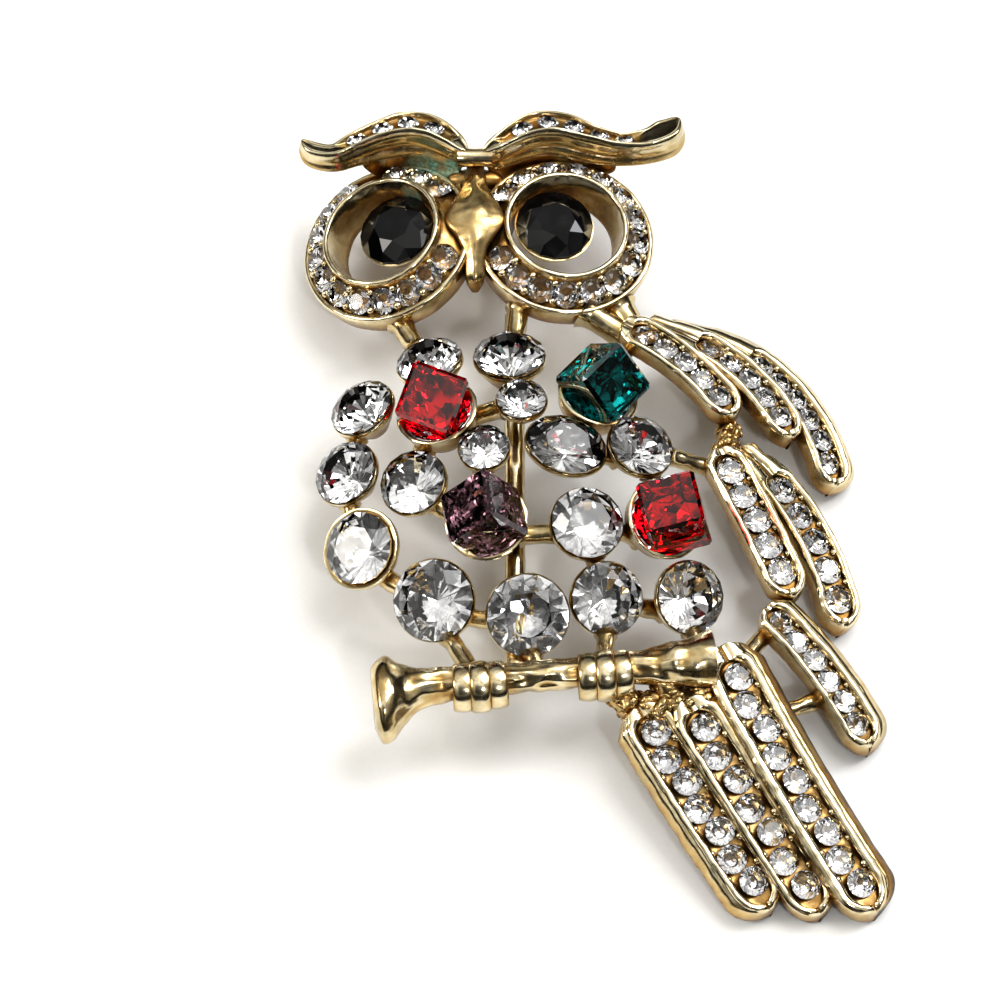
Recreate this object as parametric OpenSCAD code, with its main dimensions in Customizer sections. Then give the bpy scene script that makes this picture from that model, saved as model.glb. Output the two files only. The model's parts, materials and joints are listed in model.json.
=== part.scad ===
// Owl on a branch: a large brooch, cast in one piece, plated and set with cut glass.
// It lies face up, in millimetres: +X to the right, +Y to the head, +Z out of the face.
// The origin is on the surface it lies on, under the middle of its outline.

/* [Layout] */
// Length of the layout, from the tail tips to the brows
owl_l = 70.8; // [68:0.2:75]
// Width of the layout, from the left brow to the tail
owl_w = 48.8; // [47:0.2:52]
// Height of the chest where it is fullest
chest_h = 10.6; // [10:0.1:12]
// Radius of the chest's dome
chest_dome_r = 42; // [36:1:60]
// How much more the cups lean than the dome
cup_lean = 1.5; // [1:0.1:1.8]

/* [Stones] */
// Diameter of the two large clear stones
stone_large_d = 6.7; // [6.2:0.1:6.9]
// Diameter of the middle clear stones
stone_middle_d = 6; // [5.6:0.1:6.1]
// Diameter of the small clear stones
stone_small_d = 5.6; // [5:0.1:5.7]
// Diameter of the two least clear stones
stone_least_d = 4.2; // [3.8:0.1:4.4]
// Length of the oval stone
stone_oval_l = 6.8; // [6.2:0.1:7]
// Edge of the cube stones
cube_edge = 4.9; // [4.4:0.1:5]
// Bevel on the edges of the cube stones
cube_bevel = 0.3; // [0.2:0.05:0.5]
// Diameter of the black eye stones
eye_stone_d = 6.7; // [6:0.1:6.8]
// Diameter of the stones round the eyes
ring_stone_d = 2.1; // [1.8:0.05:2.2]
// Diameter of the stones on the brows
brow_stone_d = 1.7; // [1.4:0.05:1.8]
// Diameter of the stones on the upper and the lower wing
wing_stone_d = 1.9; // [1.7:0.05:2]
// Diameter of the stones on the middle wing
middle_stone_d = 2.25; // [2:0.05:2.4]
// Diameter of the stones on the tail
tail_stone_d = 2.2; // [2:0.05:2.4]
// Gap between a stone and the metal that holds it
stone_clear = 0.08; // [0.06:0.01:0.12]
// Gap between two small stones of a row
row_gap = 0.12; // [0.1:0.01:0.4]

/* [Head] */
// Height of the eye rings up the brooch
eye_y = 24.6; // [24:0.1:25.5]
// Place of the beak across the brooch
beak_x = -9.3; // [-9.8:0.1:-8.8]
// Gap between the two eye rings, which the beak fills
ring_gap = 0.6; // [0.1:0.1:1]
// Outer diameter of an eye ring
ring_d = 15.4; // [14.9:0.1:15.7]
// Diameter of the opening of an eye ring
ring_hole_d = 9.8; // [9.7:0.1:10]
// Depth of an eye ring
ring_depth = 3; // [2.6:0.1:3.6]
// Height of the left ring's middle
ring_left_h = 7.6; // [7.2:0.1:8.4]
// Height of the right ring's middle
ring_right_h = 8.6; // [8:0.1:9.2]
// How far the left ring leans outwards, in degrees
ring_left_lean = 20; // [10:1:24]
// How far the right ring leans outwards, in degrees
ring_right_lean = 6; // [2:1:12]
// Length of the left brow
brow_left_l = 14.4; // [13:0.1:16]
// Length of the right brow
brow_right_l = 17; // [15:0.1:19]
// Width of a brow where it is fullest
brow_w = 3.1; // [2.9:0.1:3.6]
// Thickness of a brow
brow_t = 2.7; // [2.4:0.1:3]
// Height of the brows
brow_h = 11; // [10.6:0.1:11.8]
// Width of the beak
beak_w = 4.4; // [3.8:0.1:5.2]
// Length of the beak
beak_l = 10.8; // [10:0.1:12]

/* [Metal] */
// Wall of the cups
cup_wall = 0.4; // [0.3:0.05:0.6]
// Width of the raised rims beside a row of stones
rim_w = 0.4; // [0.3:0.05:0.6]
// Height of the rims over the girdles of the stones
rim_h = 0.25; // [0.1:0.05:0.5]
// Thickness of the metal under a row of stones
floor_t = 0.9; // [0.6:0.1:1.4]
// Thickness of the struts
strut_d = 1.3; // [1:0.1:1.8]
// Width of the back bar
back_bar_w = 1.7; // [1.4:0.1:2.4]
// Thickness of the back bar
back_bar_t = 1.7; // [1.5:0.1:1.9]

/* [Wings and tail] */
// Length of the longest feather of the upper wing
wing_upper_l = 20.9; // [20.3:0.1:21.5]
// Length of the longest feather of the middle wing
wing_middle_l = 17.4; // [16.8:0.2:18]
// Length of the lower wing's feather
wing_lower_l = 13.6; // [13:0.1:14]
// Length of the longest tail feather
tail_l = 23.8; // [23:0.2:24.4]
// Room beside the stones of a wing feather
wing_slack = 0.1; // [0:0.05:0.3]
// Room beside the stones of a tail feather
tail_slack = 0.3; // [0.1:0.05:0.5]

/* [Branch] */
// Length of the branch
branch_l = 27.8; // [26.6:0.2:28.2]
// Thickness of the branch
branch_d = 2.5; // [2.2:0.1:3]
// Height of the branch's middle
branch_h = 7.6; // [7:0.1:8.2]
// Thickness of the feet that grip the branch
claw_d = 4.4; // [3.8:0.1:5]
// Width of a foot
claw_w = 4; // [3.4:0.1:4.6]

/* [Bar pin] */
// Length over the two ends of the pin
pin_l = 28; // [24:0.5:31]
// Diameter of the pin's stem
pin_stem_d = 1; // [0.8:0.1:1.4]
// Height of the stem over the surface
pin_stem_h = 2.4; // [2:0.1:3]
// Width of the pin's two ends
pin_end_w = 1.6; // [1.2:0.1:2.2]

/* [Hidden] */

plate = "#cdb27a";
clear_glass = "#dfe3e6";
solder_gap = 0.05;

// The clear chest stones. Across and along are percent of owl_w and owl_l from the middle,
// sink is how far a stone lies under the dome, and long is its length over its width.
// [across, along, diameter, sink, long, turn]
CLEAR = [
    [-27.0, 17.6, stone_small_d, 0.6, 1, 0],
    [-13.0, 17.6, stone_middle_d, 0.5, 1, 0],
    [-11.0, 10.5, stone_least_d, 0, 1, 0],
    [-38.5, 11.0, stone_small_d, 0, 1, 0],
    [-41.0, 2.2, stone_small_d, 0, 1, 0],
    [-29.4, -0.2, stone_small_d, 0, 1, 0],
    [-17.4, 3.8, stone_least_d, 0, 1, 0],
    [-3.4, 4.2, stone_oval_l / 1.27, 0, 1.27, -18],
    [9.4, 4.9, stone_small_d, 0, 1, 0],
    [0.0, -5.7, stone_middle_d, 0, 1, 0],
    [-38.4, -7.6, stone_middle_d, 0, 1, 0],
    [-25.8, -14.6, stone_large_d, 0, 1, 0],
    [-10.0, -16.6, stone_large_d, 0, 1, 0],
    [3.3, -14.4, stone_middle_d, 0, 1, 0],
    [17.4, -13.2, stone_middle_d, 0, 1, 0]
];

// The cube stones. Rise is how far a cube's middle lies over the dome, and the turns lean it
// about X and Y and spin it about its long diagonal.
// [across, along, rise, lean_x, lean_y, spin, colour]
CUBES = [
    [-26.2, 9.6, 1.3, -30, -20, 15, "#a30018"],
    [-17.3, -5.7, 1.1, 25, 10, 5, "#4a3640"],
    [2.9, 12.3, 1.2, 25, -25, 85, "#0b4a52"],
    [14.6, -4.4, 1.2, -45, 20, 90, "#b0001c"]
];

// The groups of feathers: where the first feather starts, and its heading.
// [across, along, heading, longest feather, stone diameter, slack]
GROUPS = [
    [7.4, 22.4, -27, wing_upper_l, wing_stone_d, wing_slack],
    [23.2, 6.1, -64, wing_middle_l, middle_stone_d, wing_slack],
    [30.7, -14.0, -44, wing_lower_l, wing_stone_d, wing_slack],
    [8.6, -27.3, -60, tail_l, tail_stone_d, tail_slack]
];

// The feathers. Start is counted along the group's heading in shares of its longest feather
// and across it in feather widths. Bare is the share at the root that has no stones. Lift is
// how far the tip's underside stands over the surface. Flare widens the outer side, or the
// inner one where it is below zero.
// [group, start along, start across, heading, turn, length, bare, root height, lift, roll, flare]
FEATHERS = [
    [0, 0.00, 0.00, -27, -28, 0.58, 0.04, 7.8, 4.3, 10, 0],
    [0, 0.08, 0.50, -15, -50, 0.76, 0.26, 7.0, 2.9, 16, 0],
    [0, 0.14, 0.76, -5, -78, 1.00, 0.345, 6.0, 0.0, 24, 0.9],
    [1, 0.00, 0.00, -64, -3, 0.80, 0.02, 6.4, 2.7, 8, 0],
    [1, 0.01, 0.66, -43, -38, 1.00, 0.18, 5.2, 0.0, 18, 0.2],
    [2, 0.00, 0.00, -44, -18, 1.00, 0.00, 5.4, 0.0, 12, 1.25],
    [3, 0.00, 0.00, -60, 7, 0.78, 0.03, 6.2, 0.0, -6, -0.8],
    [3, 0.065, 0.94, -59, 4, 0.81, 0.04, 6.6, 0.0, 0, 0.6],
    [3, -0.035, 2.18, -64, 9, 1.00, 0.04, 7.4, 0.0, 6, 1.3]
];

// The struts between cups, by number: 0 to 14 are the clear stones and 15 to 18 the cubes.
// [from, to, thickness]
STRUTS = [
    [0, 15, 1], [1, 2, 1], [15, 2, 1.1], [3, 4, 1], [15, 5, 1], [5, 16, 1], [6, 16, 1],
    [17, 7, 1], [7, 8, 1.1], [8, 18, 1], [16, 9, 1.1], [9, 18, 1], [9, 13, 1], [13, 14, 1.1],
    [4, 10, 1], [10, 11, 1.1], [11, 12, 1]
];

// Stations along a brow: how far along, how far behind the start, width, rise and thickness,
// as shares of the brow's length, length, width, thickness and thickness.
// [along, behind, width, rise, thickness]
BROW_LEFT = [
    [0.00, -0.01, 0.35, -0.10, 0.70], [0.10, 0.09, 0.70, 0.04, 0.90],
    [0.24, 0.17, 0.96, 0.13, 1.00], [0.38, 0.18, 0.96, 0.16, 1.00],
    [0.54, 0.14, 0.76, 0.06, 0.95], [0.68, 0.08, 0.66, -0.07, 0.80],
    [0.80, 0.02, 0.54, -0.18, 0.60], [0.92, 0.04, 0.48, -0.22, 0.45],
    [1.00, 0.09, 0.30, -0.22, 0.30]
];
BROW_RIGHT = [
    [0.00, -0.01, 0.35, -0.10, 0.70], [0.11, 0.07, 0.64, 0.04, 0.90],
    [0.26, 0.15, 0.98, 0.13, 1.00], [0.41, 0.15, 0.94, 0.15, 1.00],
    [0.56, 0.10, 0.68, 0.04, 0.95], [0.71, 0.07, 0.64, -0.05, 0.80],
    [0.85, 0.09, 0.76, -0.08, 0.65], [0.95, 0.15, 0.78, -0.10, 0.55],
    [1.00, 0.21, 0.46, -0.11, 0.45]
];

// Stations along the branch from its left end: radius as a share of the thickness, and droop.
// [along, radius, droop]
BRANCH = [
    [0.00, 1.05, 0.30], [0.02, 1.40, 0.40], [0.05, 1.40, 0.36], [0.08, 1.10, 0.28],
    [0.12, 0.78, 0.14], [0.17, 0.61, 0.04], [0.23, 0.54, 0.00], [0.40, 0.50, 0.00],
    [0.54, 0.50, 0.00], [0.75, 0.55, 0.00], [0.85, 0.64, 0.00], [0.94, 0.84, -0.04],
    [1.00, 0.96, -0.10]
];

// Places of the two feet along the branch, as shares of its length
CLAWS = [0.31, 0.675];

ring_spacing = (ring_d * (cos(ring_left_lean) + cos(ring_right_lean)) / 2 + ring_gap) / 2;
ring_left_p = [beak_x - ring_spacing, eye_y, ring_left_h];
ring_right_p = [beak_x + ring_spacing, eye_y, ring_right_h];
ring_slope = 30;
ring_band = (ring_d - ring_hole_d) / 2;
branch_turn = 5.5;
// Room between the branch's end and the root of the longest tail feather, across and along
branch_end_gap = [0.63, 0.95];
branch_end = feather_start(8) - branch_end_gap;
branch_p = [
    branch_end[0] - branch_l * cos(branch_turn), branch_end[1] - branch_l * sin(branch_turn),
    branch_h
];
back_bar_x = -0.121 * owl_w;
back_bar_h = 6.4;
table_share = 0.58;
crown_share = 0.15;
pavilion_share = 0.42;
small_pavilion_share = 0.38;

// Shape helpers

function at_share(across, along) = [across / 100 * owl_w, along / 100 * owl_l];

function dome_h(p) =
    chest_h - (pow(p[0] + 0.113 * owl_w, 2) + pow(p[1] - 0.028 * owl_l, 2)) / (2 * chest_dome_r);

function dome_lean(p) = [
    -cup_lean * atan((p[1] - 0.028 * owl_l) / chest_dome_r),
    cup_lean * atan((p[0] + 0.113 * owl_w) / chest_dome_r), 0];

// Place along an arc that starts at p with a heading and turns evenly over its length
function arc_at(p, heading, turn, len, s) =
    let (half = turn * s / 2, k = abs(half) < 0.01 ? 1 : sin(half) / (half * PI / 180))
    [p[0] + len * s * k * cos(heading + half), p[1] + len * s * k * sin(heading + half)];

function ellipse_ring(n, rx, ry, z, start = 0) =
    [for (i = [0:n - 1]) [rx * cos(start + 360 * i / n), ry * sin(start + 360 * i / n), z]];

// Triangles between rings of m points, in order along the body
function skin_faces(n, m) = concat(
    [for (i = [0:n - 2], j = [0:m - 1])
        [i * m + j, (i + 1) * m + (j + 1) % m, i * m + (j + 1) % m]],
    [for (i = [0:n - 2], j = [0:m - 1])
        [i * m + j, (i + 1) * m + j, (i + 1) * m + (j + 1) % m]]
);

// A body through rings with as many points each, with flat ends
module skin(rings) {
    n = len(rings);
    m = len(rings[0]);
    polyhedron(
        points = [for (r = rings) each r],
        faces = concat(
            skin_faces(n, m),
            [[for (j = [0:m - 1]) j]],
            [[for (j = [m - 1:-1:0]) (n - 1) * m + j]]
        ),
        convexity = 10
    );
}

// A closed loop of rings, with no ends
module loop_skin(rings) {
    n = len(rings);
    m = len(rings[0]);
    polyhedron(
        points = [for (r = rings) each r],
        faces = concat(
            [for (i = [0:n - 1], j = [0:m - 1])
                [i * m + j, i * m + (j + 1) % m, ((i + 1) % n) * m + (j + 1) % m]],
            [for (i = [0:n - 1], j = [0:m - 1])
                [i * m + j, ((i + 1) % n) * m + (j + 1) % m, ((i + 1) % n) * m + j]]
        ),
        convexity = 10
    );
}

function unit(v) = v / norm(v);

// Four points round p, square to v
function strut_ring(p, v, d, start) =
    let (side = cross([0, 0, 1], v) / norm([v[0], v[1]]), up = cross(v, side))
    [for (k = [0:3]) p + d * 0.56 * (cos(start + 90 * k) * side + sin(start + 90 * k) * up)];

// A strut between two points, with a point at each end
module strut(p, q, d) {
    v = unit(q - p);
    polyhedron(
        points = concat(
            [p],
            strut_ring(p + v * d * 0.3, v, d, 40),
            strut_ring(q - v * d * 0.3, v, d, 60),
            [q]
        ),
        faces = concat(
            [for (k = [0:3]) [0, 1 + k, 1 + (k + 1) % 4]],
            [for (f = skin_faces(2, 4)) [for (i = f) i + 1]],
            [for (k = [0:3]) [9, 5 + (k + 1) % 4, 5 + k]]
        )
    );
}

// A rough lump of metal between two points
module lump(p, q, d) {
    hull() {
        translate(p) rotate([10, 0, 10]) sphere(d = d, $fn = 6);
        translate(q) rotate([0, 10, 40]) sphere(d = d, $fn = 6);
    }
}

// Stones

// A round or oval brilliant with its girdle at z = 0: a table, eight stars, eight kites and
// sixteen girdle facets over a girdle band, and sixteen facets down to the culet
module brilliant(d, long = 1) {
    r = d / 2;
    rt = r * table_share;
    h = d * crown_share;
    band = d * 0.02;
    rs = r * 0.8;
    hs = band + h * (r - rs * cos(22.5)) / (r - rt);
    girdle = ellipse_ring(16, r, r, -band);
    top = ellipse_ring(16, r, r, band);
    table = ellipse_ring(8, rt, rt, band + h);
    star = ellipse_ring(8, rs, rs, hs, 22.5);
    scale([long, 1, 1]) polyhedron(
        points = concat([[0, 0, -d * pavilion_share]], girdle, top, star, table),
        faces = concat(
            [for (i = [0:15]) [0, 1 + i, 1 + (i + 1) % 16]],
            [for (i = [0:15]) [1 + i, 17 + i, 17 + (i + 1) % 16]],
            [for (i = [0:15]) [1 + i, 17 + (i + 1) % 16, 1 + (i + 1) % 16]],
            [for (i = [0:7]) [17 + 2 * i, 33 + i, 18 + 2 * i]],
            [for (i = [0:7]) [18 + 2 * i, 33 + i, 17 + (2 * i + 2) % 16]],
            [for (i = [0:7]) [17 + 2 * i, 41 + i, 33 + i]],
            [for (i = [0:7]) [33 + i, 41 + (i + 1) % 8, 17 + (2 * i + 2) % 16]],
            [for (i = [0:7]) [33 + i, 41 + i, 41 + (i + 1) % 8]],
            [[for (i = [7:-1:0]) 41 + i]]
        )
    );
}

// Room for a brilliant: its lower half and a well over it, both larger by the clearance
module brilliant_room(d, long = 1) {
    r = d / 2 + stone_clear;
    scale([long, 1, 1]) polyhedron(
        points = concat(
            [[0, 0, -d * pavilion_share - stone_clear * 1.3]],
            ellipse_ring(16, r, r, -d * 0.02 - stone_clear * 0.3),
            ellipse_ring(16, r, r, d * (crown_share + 0.3), 11.25)
        ),
        faces = concat(
            [for (i = [0:15]) [0, 1 + i, 1 + (i + 1) % 16]],
            [for (i = [0:15]) [1 + i, 17 + i, 17 + (i + 1) % 16]],
            [for (i = [0:15]) [1 + i, 17 + (i + 1) % 16, 1 + (i + 1) % 16]],
            [[for (i = [15:-1:0]) 17 + i]]
        )
    );
}

// A small stone of a row: a table, eight facets over the girdle and eight under it
module small_stone(d) {
    r = d / 2;
    rt = r * table_share;
    h = d * crown_share;
    polyhedron(
        points = concat([[0, 0, -d * small_pavilion_share]], ellipse_ring(8, r, r, 0, 22.5),
            ellipse_ring(8, rt, rt, h, 22.5)),
        faces = concat(
            [for (i = [0:7]) [0, 1 + i, 1 + (i + 1) % 8]],
            [for (i = [0:7]) [1 + i, 9 + i, 9 + (i + 1) % 8]],
            [for (i = [0:7]) [1 + i, 9 + (i + 1) % 8, 1 + (i + 1) % 8]],
            [[for (i = [7:-1:0]) 9 + i]]
        )
    );
}

// Turns what stands on a face so that it stands on a corner
module on_corner() {
    rotate([atan(sqrt(2)), 0, 0]) rotate([0, 0, 45]) children();
}

// A cube that stands on a corner, with bevelled edges
module bevelled_cube(edge, bevel) {
    on_corner() hull() {
        cube([edge, edge - 2 * bevel, edge - 2 * bevel], center = true);
        cube([edge - 2 * bevel, edge, edge - 2 * bevel], center = true);
        cube([edge - 2 * bevel, edge - 2 * bevel, edge], center = true);
    }
}

// Chest

function clear_p(i) =
    let (p = at_share(CLEAR[i][0], CLEAR[i][1]))
    [p[0], p[1], dome_h(p) - CLEAR[i][3]];

function cube_p(i) =
    let (p = at_share(CUBES[i][0], CUBES[i][1]))
    [p[0], p[1], dome_h(p) + CUBES[i][2]];

function cup_depth(d) = d * pavilion_share + 0.5;

module at_clear(i) {
    p = clear_p(i);
    translate(p) rotate(dome_lean(p)) rotate([0, 0, CLEAR[i][5]]) children();
}

module clear_stone(i) {
    color(clear_glass) at_clear(i) brilliant(CLEAR[i][2], CLEAR[i][4]);
}

module clear_cup(i) {
    r = CLEAR[i][2] / 2 + stone_clear + cup_wall;
    deep = cup_depth(CLEAR[i][2]);
    at_clear(i) scale([(CLEAR[i][4] * (r - cup_wall) + cup_wall) / r, 1, 1]) skin([
        ellipse_ring(16, r * 0.4, r * 0.4, -deep, 11.25),
        ellipse_ring(16, r, r, CLEAR[i][2] * 0.03)
    ]);
}

module at_cube(i) {
    translate(cube_p(i)) rotate([CUBES[i][3], 0, 0]) rotate([0, CUBES[i][4], 0])
        rotate([0, 0, CUBES[i][5]]) children();
}

module cube_stone(i) {
    color(CUBES[i][6]) at_cube(i) bevelled_cube(cube_edge, cube_bevel);
}

cube_cup_r = cube_edge * 0.72 + cup_wall;

module cube_cup(i) {
    p = cube_p(i);
    translate(p) rotate(dome_lean(p)) difference() {
        skin([
            ellipse_ring(12, cube_cup_r * 0.4, cube_cup_r * 0.4, -cube_edge * 0.95),
            ellipse_ring(12, cube_cup_r * 0.86, cube_cup_r * 0.86, -cube_edge * 0.6, 15),
            ellipse_ring(12, cube_cup_r, cube_cup_r, -cube_edge * 0.27)
        ]);
        skin([
            ellipse_ring(12, cube_edge * 0.3, cube_edge * 0.3, -cube_edge * 0.66),
            ellipse_ring(12, cube_edge * 0.72, cube_edge * 0.72, -cube_edge * 0.27, 15),
            ellipse_ring(12, cube_edge * 0.74, cube_edge * 0.74, 0)
        ]);
    }
}

function cup_foot(i) = i < 15
    ? clear_p(i) - [0, 0, cup_depth(CLEAR[i][2]) * 0.62]
    : cube_p(i - 15) - [0, 0, cube_edge * 0.72];

// Feathers

function feather_group(i) = GROUPS[FEATHERS[i][0]];
function feather_stone_d(i) = feather_group(i)[4];
function feather_w(i) =
    feather_stone_d(i) + 2 * (stone_clear + feather_group(i)[5] + rim_w);
function feather_l(i) = FEATHERS[i][5] * feather_group(i)[3];
function feather_bare(i) = FEATHERS[i][6];
function feather_roll(i) = FEATHERS[i][9];
function feather_depth(i) = feather_stone_d(i) * small_pavilion_share + stone_clear + floor_t;

function feather_start(i) =
    let (g = feather_group(i), f = FEATHERS[i], p = at_share(g[0], g[1]),
        a = f[1] * g[3], c = f[2] * feather_w(i))
    [p[0] + a * cos(g[2]) - c * sin(g[2]), p[1] + a * sin(g[2]) + c * cos(g[2])];

// Height of the girdles at the tip, whose underside stands over the surface by the lift
function feather_tip_h(i) =
    FEATHERS[i][8] + feather_depth(i) * cos(feather_roll(i))
    + (feather_w(i) / 2 + abs(FEATHERS[i][10])) * abs(sin(feather_roll(i)));

function feather_p(i, s) =
    let (f = FEATHERS[i], p = arc_at(feather_start(i), f[3], f[4], feather_l(i), s),
        bow = 4 * s * (1 - s) * 0.35)
    [p[0], p[1], f[7] + (feather_tip_h(i) - f[7]) * s + bow];

// Section of a feather across its length: a channel with raised rims. Fill closes the channel.
function feather_section(i, s, width, fill) =
    let (f = FEATHERS[i], w = feather_w(i) / 2 * width, rim = min(rim_w, w * 0.5),
        p = feather_p(i, s), heading = f[3] + f[4] * s, deep = feather_depth(i),
        low = -(deep - floor_t) * (1 - fill) + (rim_h - 0.02) * fill,
        outer = max(f[10], 0) * width, inner = max(-f[10], 0) * width, roll = feather_roll(i),
        raw = [
            [-(w + inner - rim * 0.8), -deep], [-(w + inner), -deep * 0.6],
            [-(w - rim * 0.15), rim_h], [-(w - rim), rim_h - 0.02], [-(w - rim), low],
            [w - rim, low], [w - rim, rim_h - 0.02], [w - rim * 0.15, rim_h],
            [w + outer, -deep * 0.6], [w + outer - rim * 0.8, -deep]
        ])
    [for (q = raw)
        let (a = q[0] * cos(roll) + q[1] * sin(roll), b = q[1] * cos(roll) - q[0] * sin(roll))
        [p[0] - a * sin(heading), p[1] + a * cos(heading), p[2] + b]];

// Stations of a feather, from the round tip to the narrow root
module feather(i) {
    l = feather_l(i);
    tip = feather_w(i) / 2 / l;
    end = rim_w / l;
    bare = feather_bare(i);
    parts = max(2, ceil(abs(FEATHERS[i][4]) / 16));
    skin([
        feather_section(i, 1, 0.34, 1),
        feather_section(i, 1 - tip * 0.22, 0.66, 1),
        feather_section(i, 1 - tip * 0.55, 0.86, 1),
        feather_section(i, 1 - tip * 0.66, 0.9, 0),
        for (k = [parts:-1:1])
            feather_section(i, bare + end + (1 - bare - end - tip) * k / parts, 1, 0),
        feather_section(i, bare + end * 0.5, 0.95, 0),
        feather_section(i, bare, 0.85, 1),
        if (bare > 0.1) feather_section(i, bare * 0.5, 0.6, 1),
        feather_section(i, -end, 0.4, 1)
    ]);
}

// Small stones along a feather, one after the other, a little to each side in turn
module feather_stones(i) {
    d = feather_stone_d(i);
    l = feather_l(i);
    first = feather_bare(i) + (rim_w * 0.6 + stone_clear * 2 + d / 2) / l;
    last = 1 - (feather_w(i) * 0.33 + stone_clear * 2 + d / 2) / l;
    n = floor((last - first) * l / (d + row_gap));
    for (k = [0:n]) {
        s = first + (last - first) * k / n;
        side = feather_group(i)[5] * (k % 2 == 0 ? 0.8 : -0.8);
        heading = FEATHERS[i][3] + FEATHERS[i][4] * s;
        ahead = feather_p(i, min(1, s + 0.02));
        behind = feather_p(i, max(0, s - 0.02));
        pitch = atan2(ahead[2] - behind[2], norm([ahead[0] - behind[0], ahead[1] - behind[1]]));
        translate(feather_p(i, s)) rotate([0, 0, heading]) rotate([0, -pitch, 0])
            rotate([-feather_roll(i), 0, 0]) translate([0, side, 0]) small_stone(d);
    }
}

// Eye rings

// Radius of the opening, seen from the ring's middle: it is set off towards the head
ring_hole_off = 0.25;
function ring_hole_r(a) =
    ring_hole_off * sin(a)
    + sqrt(pow(ring_hole_d / 2, 2) - pow(ring_hole_off * cos(a), 2));

ring_inner_h = 1.1;
ring_outer_h = ring_inner_h - ring_band * tan(ring_slope);
ring_trough = ring_stone_d * small_pavilion_share + stone_clear;

function ring_section(a) =
    let (ri = ring_hole_r(a), ro = ring_d / 2, raw = [
        [ri - 0.7, -ring_depth], [ri, ring_inner_h - 0.15], [ri + rim_w * 0.5, ring_inner_h],
        [ri + rim_w - ring_trough * sin(ring_slope) + 0.35,
            ring_inner_h - 0.5 - ring_trough * cos(ring_slope)],
        [ro - rim_w - ring_trough * sin(ring_slope) + 0.25,
            ring_outer_h - 0.1 - ring_trough * cos(ring_slope)],
        [ro - rim_w * 0.8, ring_outer_h], [ro - rim_w * 0.2, ring_outer_h],
        [ro - 0.3, -ring_depth]
    ])
    [for (q = raw) [q[0] * cos(a), q[0] * sin(a), q[1]]];

module at_ring(side) {
    translate(side < 0 ? ring_left_p : ring_right_p)
        rotate([0, side * (side < 0 ? ring_left_lean : ring_right_lean), 0]) children();
}

module ring(side) {
    n = 18;
    at_ring(side) loop_skin([for (i = [0:n - 1]) ring_section(-360 * i / n)]);
}

// Stones round an eye: all the way but for the stretch beside the beak. Under the left brow
// one place stays empty.
module ring_stones(side) {
    start = side < 0 ? -28 : -153;
    turn = side < 0 ? -292 : 297;
    pitch = (ring_stone_d + row_gap) / ((ring_d + ring_hole_d) / 4) * 180 / PI;
    n = floor(abs(turn) / pitch);
    at_ring(side) for (k = [0:n]) {
        a = start + turn * k / n;
        r = (ring_hole_r(a) + ring_d / 2) / 2 + 0.05;
        if (side > 0 || k != round(n * 0.76))
            translate([r * cos(a), r * sin(a), (ring_inner_h + ring_outer_h) / 2 - 0.12])
                rotate([0, 0, a]) rotate([0, ring_slope, 0]) small_stone(ring_stone_d);
    }
}

// The eye stone stands towards the beak and the head, a little below the rim
eye_off = [0.85, 1.15];
eye_sink = 0.55;

module at_eye(side) {
    at_ring(side) translate([-side * eye_off[0], eye_off[1], -eye_sink]) children();
}

module eye_cup(side) {
    r = eye_stone_d / 2 + stone_clear + cup_wall;
    at_eye(side) skin([
        ellipse_ring(16, r * 0.45, r * 0.45, -cup_depth(eye_stone_d) * 0.9, 11.25),
        ellipse_ring(16, r, r, 0)
    ]);
}

module eye_stone(side) {
    color("#15171a") at_eye(side) brilliant(eye_stone_d);
}

// Brows

function brow_section(rows, i, l, start) =
    let (row = rows[i], n = len(rows), w = row[2] * brow_w / 2,
        ahead = rows[min(n - 1, i + 1)], behind = rows[max(0, i - 1)],
        heading = atan2(ahead[1] - behind[1], ahead[0] - behind[0]),
        p = [start[0] + row[0] * l, start[1] + row[1] * l, start[2] + row[3] * brow_t],
        fill = i == 0 || i >= n - 2 ? 1 : 0,
        deep = brow_stone_d * small_pavilion_share + stone_clear,
        low = -deep * (1 - fill) + (rim_h - 0.02) * fill, rim = min(rim_w * 0.75, w * 0.4),
        t = brow_t * row[4],
        raw = [
            [w * 0.7, -t * 0.8], [w, -t * 0.35], [w - rim * 0.3, rim_h], [w - rim, low],
            [-(w - rim), low], [-(w - rim * 0.3), rim_h], [-(w - t * 0.1), -t * 0.5],
            [-w, -t]
        ])
    [for (q = raw)
        let (a = q[0] * cos(brow_back) + q[1] * sin(brow_back),
            b = q[1] * cos(brow_back) - q[0] * sin(brow_back))
        [p[0] - a * sin(heading), p[1] + a * cos(heading), p[2] + b]];

// The brows' faces lean back towards the head, in degrees
brow_back = 24;
brow_start = [0.7, eye_y + 6.87, brow_h];

module at_brow(side) {
    translate([beak_x, 0, 0]) if (side < 0) mirror([1, 0, 0]) children(); else children();
}

module brow(side) {
    rows = side < 0 ? BROW_LEFT : BROW_RIGHT;
    l = side < 0 ? brow_left_l : brow_right_l;
    at_brow(side) skin([for (i = [0:len(rows) - 1]) brow_section(rows, i, l, brow_start)]);
}

// A value of a brow's table between its stations
function brow_value(rows, s, column) = lookup(s, [for (r = rows) [r[0], r[column]]]);

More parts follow.
